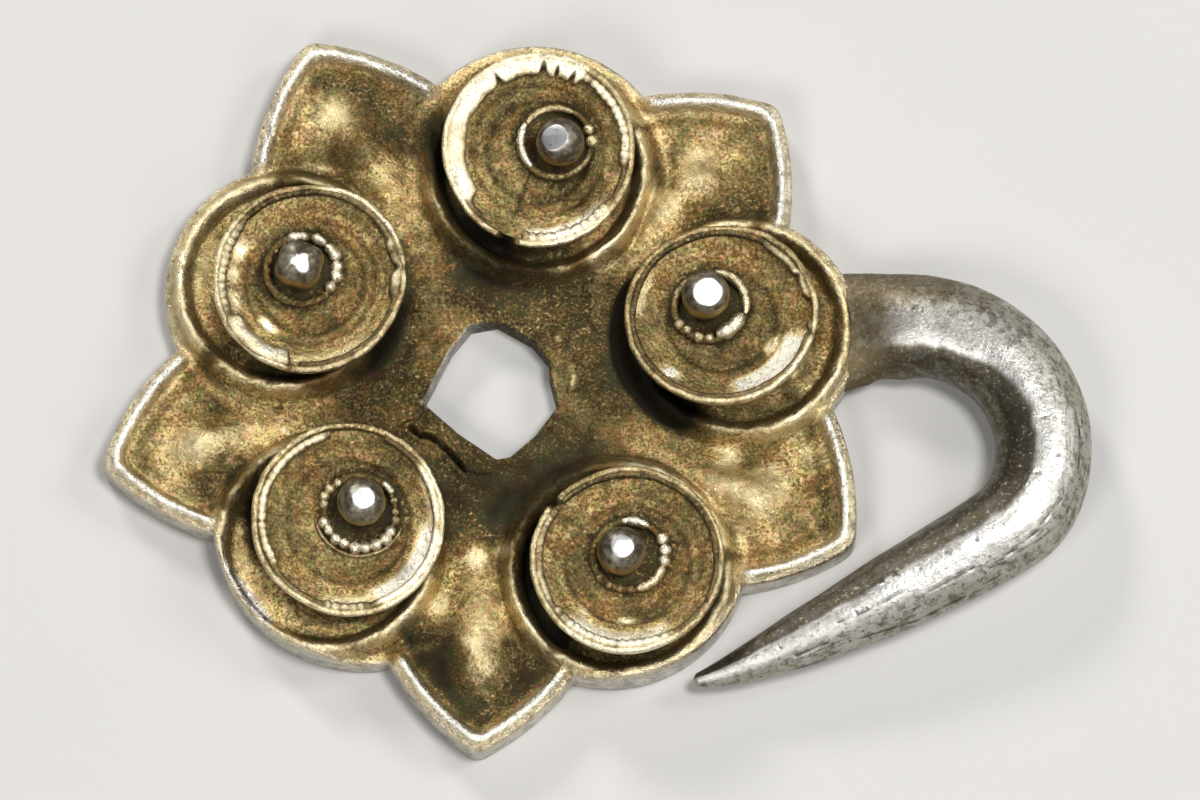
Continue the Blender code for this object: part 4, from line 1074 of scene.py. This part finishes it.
def root_rows(first, heading):
    """Rows that carry the shank's end back against the lobe's rounded edge, wider and lower."""
    lobe_x, lobe_y, radius = RIGHT_CUP.lobe
    ahead = np.array([cos(heading), sin(heading)])
    sideways = np.array([-sin(heading), cos(heading)])
    from_lobe = first[:, :2] - np.array([lobe_x, lobe_y])
    aside = from_lobe @ sideways
    reach = radius - HOOK_BITE
    back = from_lobe @ ahead - np.sqrt(np.clip(reach ** 2 - aside ** 2, 0, None))
    over = np.clip(first[:, 2] - (first[:, 2].max() + first[:, 2].min()) / 2, 0, None)
    rows = []
    for share in np.linspace(1, 0, HOOK_ROOT_STEPS + 1)[:-1]:
        row = first.copy()
        row[:, :2] -= (share * back)[:, None] * ahead
        row[:, :2] += (HOOK_ROOT_FLARE * share * back * aside)[:, None] * sideways
        row[:, 2] -= HOOK_ROOT_FALL * share * back * over
        rows.append(row)
    return np.array(rows)


def add_tang(shift):
    """The hook's flat end in the plate's back, with its edges rounded."""
    heading = radians(HOOK_HEADING)
    along = (TANG_OVERLAP - TANG_LENGTH) / 2
    bpy.ops.mesh.primitive_cube_add(size=1.0)
    tang = bpy.context.object
    tang.name = "tang_tool"
    size = (TANG_LENGTH + TANG_OVERLAP, TANG_WIDTH, TANG_THICKNESS)
    for vertex in tang.data.vertices:
        vertex.co = [corner * side * MM for corner, side in zip(vertex.co, size)]
    bevel = tang.modifiers.new("rounded edges", "BEVEL")
    bevel.width = TANG_ROUND * MM
    bevel.segments = TANG_ROUND_STEPS
    middle = ring_points(along, heading, TANG_LIFT + TANG_THICKNESS / 2) + np.array([*hook_start(), 0])
    tang.location = middle * MM + shift
    tang.rotation_euler = (0, 0, heading)
    return tang


def hook_colours(along, around, marks):
    """The values that the hook's material is mixed by, on its grid and its two end points."""
    degrees = np.degrees(around)
    ragged = 0.5 * layered_noise(along, 0 * along, 0.5, 85)
    upper = smooth_step((degrees - 95) / 30) * (degrees < 260)
    clean = smooth_step((along - 0.8 * upper + 0.8 * ragged - 0.3) / (1.6 + 1.0 * upper))
    # The inner side is a painted reflection: olive brown up to the border, and dark in a strip next to it
    border = mix(62, 84, smooth_step((along - 3.0) / 2.5)) + 5 * ragged
    within = smooth_step((border - degrees) / 9) * (degrees < 140)
    strong = 0.75 + 0.25 * bump((along - 7.3) / 2.6)
    outer_middle = mix(138, 160, smooth_step((along - 4.5) / 3.0))
    return {
        "along": with_ends(along, 0, along.max()),
        "around": with_ends(around),
        "clean": with_ends(clean, 0, 1),
        "inner": with_ends(within + (degrees > 300)),
        "band": with_ends(within * smooth_step((degrees - 34) / 14) * strong),
        "outer": with_ends(bump((degrees - outer_middle) / 60)),
        "mark": with_ends(marks),
    }


def hook_piece(shift):
    """The hook, joined with its tang."""
    grid, along, around, marks, headings = hook_rows()
    roots = root_rows(grid[0], headings[0])
    plain = np.zeros((len(roots), HOOK_COLUMNS))
    grid = np.concatenate([roots, grid])
    along = np.concatenate([plain, along])
    around = np.concatenate([plain + around[0], around])
    marks = np.concatenate([plain, marks])
    end = grid[-1].mean(axis=0) + HOOK_POINT_LENGTH * np.array([cos(headings[-1]), sin(headings[-1]), 0])
    points, faces = capped_grid(grid, end=end)
    hook = add_mesh("hook_visual", points, faces, shift, hook_colours(along, around, marks))
    tang = add_tang(shift)
    union = hook.modifiers.new("with its tang", "BOOLEAN")
    union.operation = "UNION"
    union.solver = "EXACT"
    union.object = tang
    graph = bpy.context.evaluated_depsgraph_get()
    joined = bpy.data.meshes.new_from_object(hook.evaluated_get(graph))
    hook.modifiers.clear()
    hook.data = joined
    bpy.data.objects.remove(tang)
    return hook


# Materials

class Value:
    """A value or colour in a material, with sums and products written as for numbers."""

    def __init__(self, tree, kind, inputs, output=0, **settings):
        self.node = tree.nodes.new(kind)
        self.tree = tree
        self.socket = self.node.outputs[output]
        for key, value in settings.items():
            setattr(self.node, key, value)
        for key, value in inputs.items():
            put(tree, self.node.inputs[key], value)

    def math(self, operation, a, b):
        return Value(self.tree, "ShaderNodeMath", {0: a, 1: b}, operation=operation)

    def __add__(self, other):
        return self.math("ADD", self, other)

    def __sub__(self, other):
        return self.math("SUBTRACT", self, other)

    def __rsub__(self, other):
        return self.math("SUBTRACT", other, self)

    def __mul__(self, other):
        return self.math("MULTIPLY", self, other)

    def at_least(self, other):
        return self.math("MAXIMUM", self, other)

    def clamped(self):
        """The same value, kept from nothing to one."""
        self.node.use_clamp = True
        return self

    def ramp(self, low, high, start=0.0, end=1.0):
        """The value carried from one range to another, and kept in it."""
        inputs = {"Value": self, "From Min": low, "From Max": high, "To Min": start, "To Max": end}
        return Value(self.tree, "ShaderNodeMapRange", inputs, interpolation_type="SMOOTHSTEP")

    def between(self, a, b):
        """A colour between two others, by this share."""
        return Value(self.tree, "ShaderNodeMix", {0: self, 6: a, 7: b}, 2, data_type="RGBA")

    def overlaid(self, other, share):
        """This colour with another laid over it."""
        settings = {"data_type": "RGBA", "blend_type": "OVERLAY"}
        return Value(self.tree, "ShaderNodeMix", {0: share, 6: self, 7: other}, 2, **settings)


def put(tree, socket, value):
    """Links a value to a socket, or sets a number or a colour on the socket itself."""
    if isinstance(value, Value):
        tree.links.new(value.socket, socket)
    elif isinstance(value, tuple):
        socket.default_value = (*value, 1)
    else:
        socket.default_value = value


class Recipe:
    """A new material, and the values that its colour and finish are mixed from."""

    def __init__(self, name):
        self.material = bpy.data.materials.new(name)
        self.material.use_nodes = True
        self.tree = self.material.node_tree
        self.place = Value(self.tree, "ShaderNodeTexCoord", {}, "Object")

    def noise(self, scale, detail, rough=0.6, place=None, output="Fac"):
        inputs = {"Vector": place or self.place, "Scale": scale, "Detail": detail, "Roughness": rough}
        return Value(self.tree, "ShaderNodeTexNoise", inputs, output)

    def carried(self, *names):
        """The values that the mesh carries under these names."""
        kind = "ShaderNodeAttribute"
        return [Value(self.tree, kind, {}, "Fac", attribute_name=name) for name in names]

    def finish(self, inputs, bumps=()):
        """The material, with the shader's inputs and its bumps as (strength, millimetres, height)."""
        shader = self.tree.nodes["Principled BSDF"]
        normal = {}
        for strength, distance, height in bumps:
            layer = {"Strength": strength, "Distance": distance * MM, "Height": height, **normal}
            normal = {"Normal": Value(self.tree, "ShaderNodeBump", layer)}
        for key, value in {**inputs, **normal}.items():
            put(self.tree, shader.inputs[key], value)
        return self.material


GILT_DEEP = (0.35, 0.24, 0.095)
GILT_LIGHT = (0.66, 0.50, 0.22)
GILT_PALE = (0.88, 0.78, 0.50)
GILT_WHITE = (0.98, 0.95, 0.84)
GILT_BROWN = (0.20, 0.118, 0.040)
GILT_OLIVE = (0.17, 0.135, 0.055)
SOIL = (0.036, 0.021, 0.007)
SOIL_GREEN = (0.042, 0.040, 0.016)
# Near-black of the painted shadows beside the cups, and of the crack and the cuts
SHADOW_AND_CRACK_BLACK = (0.008, 0.006, 0.003)
BARE_SILVER = (0.66, 0.66, 0.65)
BARE_DULL = (0.34, 0.33, 0.33)


def gilt_material():
    """Worn gilding: patchy gold, specks, dark soil in hollows, paler and bare where rubbed, painted
    highlights and shadow.
    """
    recipe = Recipe("worn_gilding")
    patches = recipe.noise(1100.0, 4.0)
    blotches = recipe.noise(3200.0, 4.0, 0.7)
    grain = recipe.noise(12500.0, 4.0, 0.75)
    fine, fine_tints = (recipe.noise(26000.0, 2.0, output=output) for output in ("Fac", "Color"))
    tints = recipe.noise(5200.0, 3.0, output="Color")
    dirt, wear, bare = recipe.carried(*GILDING)
    unworn = (1.0 - wear).clamped()

    gold = (patches * 0.5 + blotches * 0.5).ramp(0.40, 0.60).between(GILT_DEEP, GILT_LIGHT)
    gold = gold.overlaid(fine_tints, 0.16)
    # Paler and white where the gilding is worn and where highlights are painted
    worn = (wear * blotches.ramp(0.30, 0.55, 0.35, 1.0)).clamped()
    gold = worn.between(gold, GILT_PALE)
    gold = wear.ramp(0.85, 1.30).between(gold, GILT_WHITE)
    # Painted glints: pale specks where the gilding is clean
    glint = grain.ramp(0.46, 0.34) * (1.0 - dirt).clamped()
    gold = (glint * 0.35).between(gold, GILT_PALE)

    dark_speck = grain.ramp(0.42, 0.66, -0.14, 0.44) * dirt.ramp(0.1, 0.5, 1.0, 0.60)
    # Painted glints in the soil as well
    soil_glint = grain.ramp(0.43, 0.36) * dirt.ramp(0.6, 0.8, 0.0, 0.38) * dirt.ramp(1.3, 1.0)
    specks = dark_speck - soil_glint
    soiled = (dirt * blotches.ramp(0.25, 0.60, 1.25, 0.80) + specks * unworn).clamped()
    brown = patches.ramp(0.42, 0.60).between(GILT_OLIVE, GILT_BROWN)
    soil = patches.ramp(0.40, 0.60).between(SOIL, SOIL_GREEN)
    colour = soiled.ramp(0.05, 0.55).between(gold, brown)
    colour = soiled.ramp(0.40, 0.95).between(colour, soil)
    colour = colour.overlaid(tints, unworn * 0.40)
    # Near-black where shadow is painted beside the cups, and in the crack
    colour = dirt.ramp(1.0, 1.4).between(colour, SHADOW_AND_CRACK_BLACK)
    silver = blotches.ramp(0.35, 0.60).between(BARE_DULL, BARE_SILVER)
    bared = (bare * grain.ramp(0.35, 0.50, 0.55, 1.0)).clamped()
    rough = grain.ramp(0.35, 0.65, 0.24, 0.46) + soiled * 0.22 - bare * 0.10
    bumps = ((0.90, 0.08, blotches), (0.80, 0.04, grain), (0.45, 0.01, fine))
    metallic = soiled.ramp(0.35, 1.0, 1.0, 0.45)
    colour = bared.between(colour, silver)
    inputs = {"Base Color": colour, "Metallic": metallic, "Roughness": rough, "Specular IOR Level": 0.15}
    return recipe.finish(inputs, bumps)


HOOK_SILVER = (0.56, 0.555, 0.53)
HOOK_BEIGE = (0.37, 0.35, 0.28)
HOOK_OLIVE = (0.095, 0.080, 0.050)
HOOK_DARK = (0.032, 0.025, 0.018)
HOOK_BROWN = (0.135, 0.105, 0.058)


def silver_material():
    """Bare silver, brown near the plate, painted reflection on the inner side, pits, fine lengthwise lines.
    """
    recipe = Recipe("hook_silver")
    along, around, clean = recipe.carried("along", "around", "clean")
    inner, band, outer, mark = recipe.carried("inner", "band", "outer", "mark")
    lengthwise = Value(recipe.tree, "ShaderNodeCombineXYZ", {0: along * 0.22, 1: around})
    streaks = recipe.noise(9.0, 4.0, 0.7, lengthwise)
    scratches = recipe.noise(34.0, 3.0, 0.7, lengthwise)
    patches = recipe.noise(1200.0, 4.0)
    blotches = recipe.noise(3600.0, 4.0, 0.7)
    grain = recipe.noise(10000.0, 3.0, 0.7)
    tint = 1.0 - clean

    colour = (outer * patches.ramp(0.30, 0.60, 0.35, 1.0)).between(HOOK_SILVER, HOOK_BEIGE)
    mottle = blotches.ramp(0.48, 0.60, 0.0, 0.6) * outer.ramp(0.0, 0.4, 0.30, 1.0)
    lines = (streaks.ramp(0.55, 0.64) * (outer + 0.22)).clamped() * 0.8
    browned = (tint * blotches.ramp(0.30, 0.60, 0.80, 1.0)).clamped()
    pale_specks = grain.ramp(0.42, 0.34, 0.0, 0.55) * inner.at_least(tint)
    dark_specks = grain.ramp(0.58, 0.66) * outer.ramp(0.0, 0.7, 0.50, 0.75)
    layers = (
        (mottle, HOOK_OLIVE),
        (lines, HOOK_OLIVE),
        # Painted reflection on the inner side: olive brown, and dark in a strip
        (inner * blotches.ramp(0.30, 0.60, 0.70, 1.0), HOOK_OLIVE),
        (band * blotches.ramp(0.30, 0.62, 1.0, 0.72), HOOK_DARK),
        (browned, HOOK_BROWN),
        (pale_specks, HOOK_BEIGE),
        (dark_specks.at_least(mark), HOOK_DARK),
    )
    for share, layer_colour in layers:
        colour = share.between(colour, layer_colour)
    rough = scratches.ramp(0.35, 0.65, 0.26, 0.38) + (inner * 0.5).at_least(outer.at_least(tint)) * 0.20
    bumps = ((0.25, 0.03, scratches), (0.5, 0.04, blotches), (0.35, 0.02, grain))
    inputs = {"Base Color": colour, "Metallic": 0.78, "Roughness": rough, "Specular IOR Level": 0.25}
    return recipe.finish(inputs, bumps)


PELLET_BRIGHT = (0.80, 0.80, 0.83)
PELLET_GREY = (0.33, 0.31, 0.25)
PELLET_DARK = (0.12, 0.10, 0.065)
PELLET_GILT = (0.42, 0.30, 0.11)


def pellet_material():
    """Dull silver with a rubbed facet and a gilt lower edge."""
    recipe = Recipe("pellet_silver")
    facet, gilt = recipe.carried("facet", "gilt")
    blotches = recipe.noise(3600.0, 4.0, 0.7)
    grain = recipe.noise(10000.0, 3.0, 0.7)
    colour = blotches.ramp(0.38, 0.62).between(PELLET_DARK, PELLET_GREY)
    colour = (gilt * blotches.ramp(0.30, 0.50, 0.4, 1.0)).between(colour, PELLET_GILT)
    colour = (facet * grain.ramp(0.66, 0.60, 0.4, 1.0)).between(colour, PELLET_BRIGHT)
    bumps = ((0.25, 0.03, blotches), (0.20, 0.01, grain))
    rough = facet.ramp(0.0, 1.0, 0.52, 0.36)
    return recipe.finish({"Base Color": colour, "Metallic": 1.0, "Roughness": rough}, bumps)


FLOOR_LIGHT = (0.50, 0.495, 0.485)
FLOOR_DARK = (0.48, 0.4752, 0.4656)


def floor_material():
    recipe = Recipe("pale_floor")
    colour = recipe.noise(60.0, 3.0).between(FLOOR_DARK, FLOOR_LIGHT)
    return recipe.finish({"Base Color": colour, "Roughness": 0.9})


# Stage

# Lights: azimuth (0 is towards -Y, 90 towards +X), elevation, distance, width, watts and colour
Light = namedtuple("Light", "name azimuth elevation distance size watts colour")
LIGHTS = (
    Light("overhead", 82, 76, 0.40, 0.10, 1.15, (1.0, 0.99, 0.97)),
    Light("key", 208, 33, 0.30, 0.07, 0.46, (1.0, 0.98, 0.94)),
    Light("right", 110, 40, 0.34, 0.12, 0.36, (1.0, 0.99, 0.98)),
    Light("front", 50, 36, 0.34, 0.14, 0.22, (1.0, 0.98, 0.96)),
    Light("fill", 325, 48, 0.34, 0.14, 0.48, (1.0, 0.98, 0.96)),
)
WORLD_GREY = 0.03

CAMERA_DISTANCE = 0.35
CAMERA_ELEVATION = 75
CAMERA_WIDTH = 0.030
CAMERA_TARGET = (0.00006, 0.000139)
SENSOR_WIDTH = 36.0
CLIP_START = 0.01

FLOOR_SIZE = 1.2
FLOOR_DROP = 0.00002


def direction(azimuth, elevation):
    azimuth, elevation = radians(azimuth), radians(elevation)
    return Vector((sin(azimuth) * cos(elevation), -cos(azimuth) * cos(elevation), sin(elevation)))


def add_lights():
    for light in LIGHTS:
        data = bpy.data.lights.new(light.name, "AREA")
        data.shape = "DISK"
        data.size = light.size
        data.energy = light.watts
        data.color = light.colour
        obj = bpy.data.objects.new(light.name, data)
        bpy.context.scene.collection.objects.link(obj)
        way = direction(light.azimuth, light.elevation)
        obj.location = light.distance * way
        obj.rotation_euler = way.to_track_quat("Z", "Y").to_euler()
        obj.visible_camera = False
    bpy.context.scene.view_settings.view_transform = "Standard"
    world = bpy.data.worlds.new("studio")
    world.use_nodes = True
    world.node_tree.nodes["Background"].inputs["Color"].default_value = (*(WORLD_GREY,) * 3, 1)
    bpy.context.scene.world = world


def add_camera():
    data = bpy.data.cameras.new("camera")
    data.sensor_width = SENSOR_WIDTH
    data.lens = SENSOR_WIDTH * CAMERA_DISTANCE / CAMERA_WIDTH
    data.clip_start = CLIP_START
    camera = bpy.data.objects.new("camera", data)
    bpy.context.scene.collection.objects.link(camera)
    camera.location = Vector((*CAMERA_TARGET, 0)) + CAMERA_DISTANCE * direction(0, CAMERA_ELEVATION)
    camera.rotation_euler = (radians(90 - CAMERA_ELEVATION), 0, 0)
    bpy.context.scene.camera = camera


def add_floor():
    bpy.ops.mesh.primitive_plane_add(size=FLOOR_SIZE, location=(0, 0, -FLOOR_DROP))
    floor = bpy.context.object
    floor.name = "floor"
    floor.data.materials.append(floor_material())


def dress(piece, material, node):
    """Gives a piece its material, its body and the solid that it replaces."""
    piece.data.materials.clear()
    piece.data.materials.append(material)
    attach(piece, "root")
    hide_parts(node)


def main():
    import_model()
    for start_object in ("Cube", "Light", "Camera"):
        if start_object in bpy.data.objects:
            bpy.data.objects.remove(bpy.data.objects[start_object])
    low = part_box("plate")[0]
    rays = plate_rays()
    corner = ring_points(outline_radius(rays), rays, 0).min(axis=0)
    shift = np.array([low.x, low.y, 0]) - corner * MM

    gilt, silver, rubbed = gilt_material(), silver_material(), pellet_material()
    dress(plate_piece(shift), gilt, "plate")
    dress(hook_piece(shift), silver, "hook")
    for cup in CUPS:
        for kind, make in (("dish", dish_piece), ("rim_wire", wire_piece), ("collar", collar_piece)):
            dress(make(cup, shift), gilt, f"{cup.name}_{kind}")
        dress(pellet_piece(cup, shift), rubbed, f"{cup.name}_pellet")
    add_floor()
    add_lights()
    add_camera()


main()
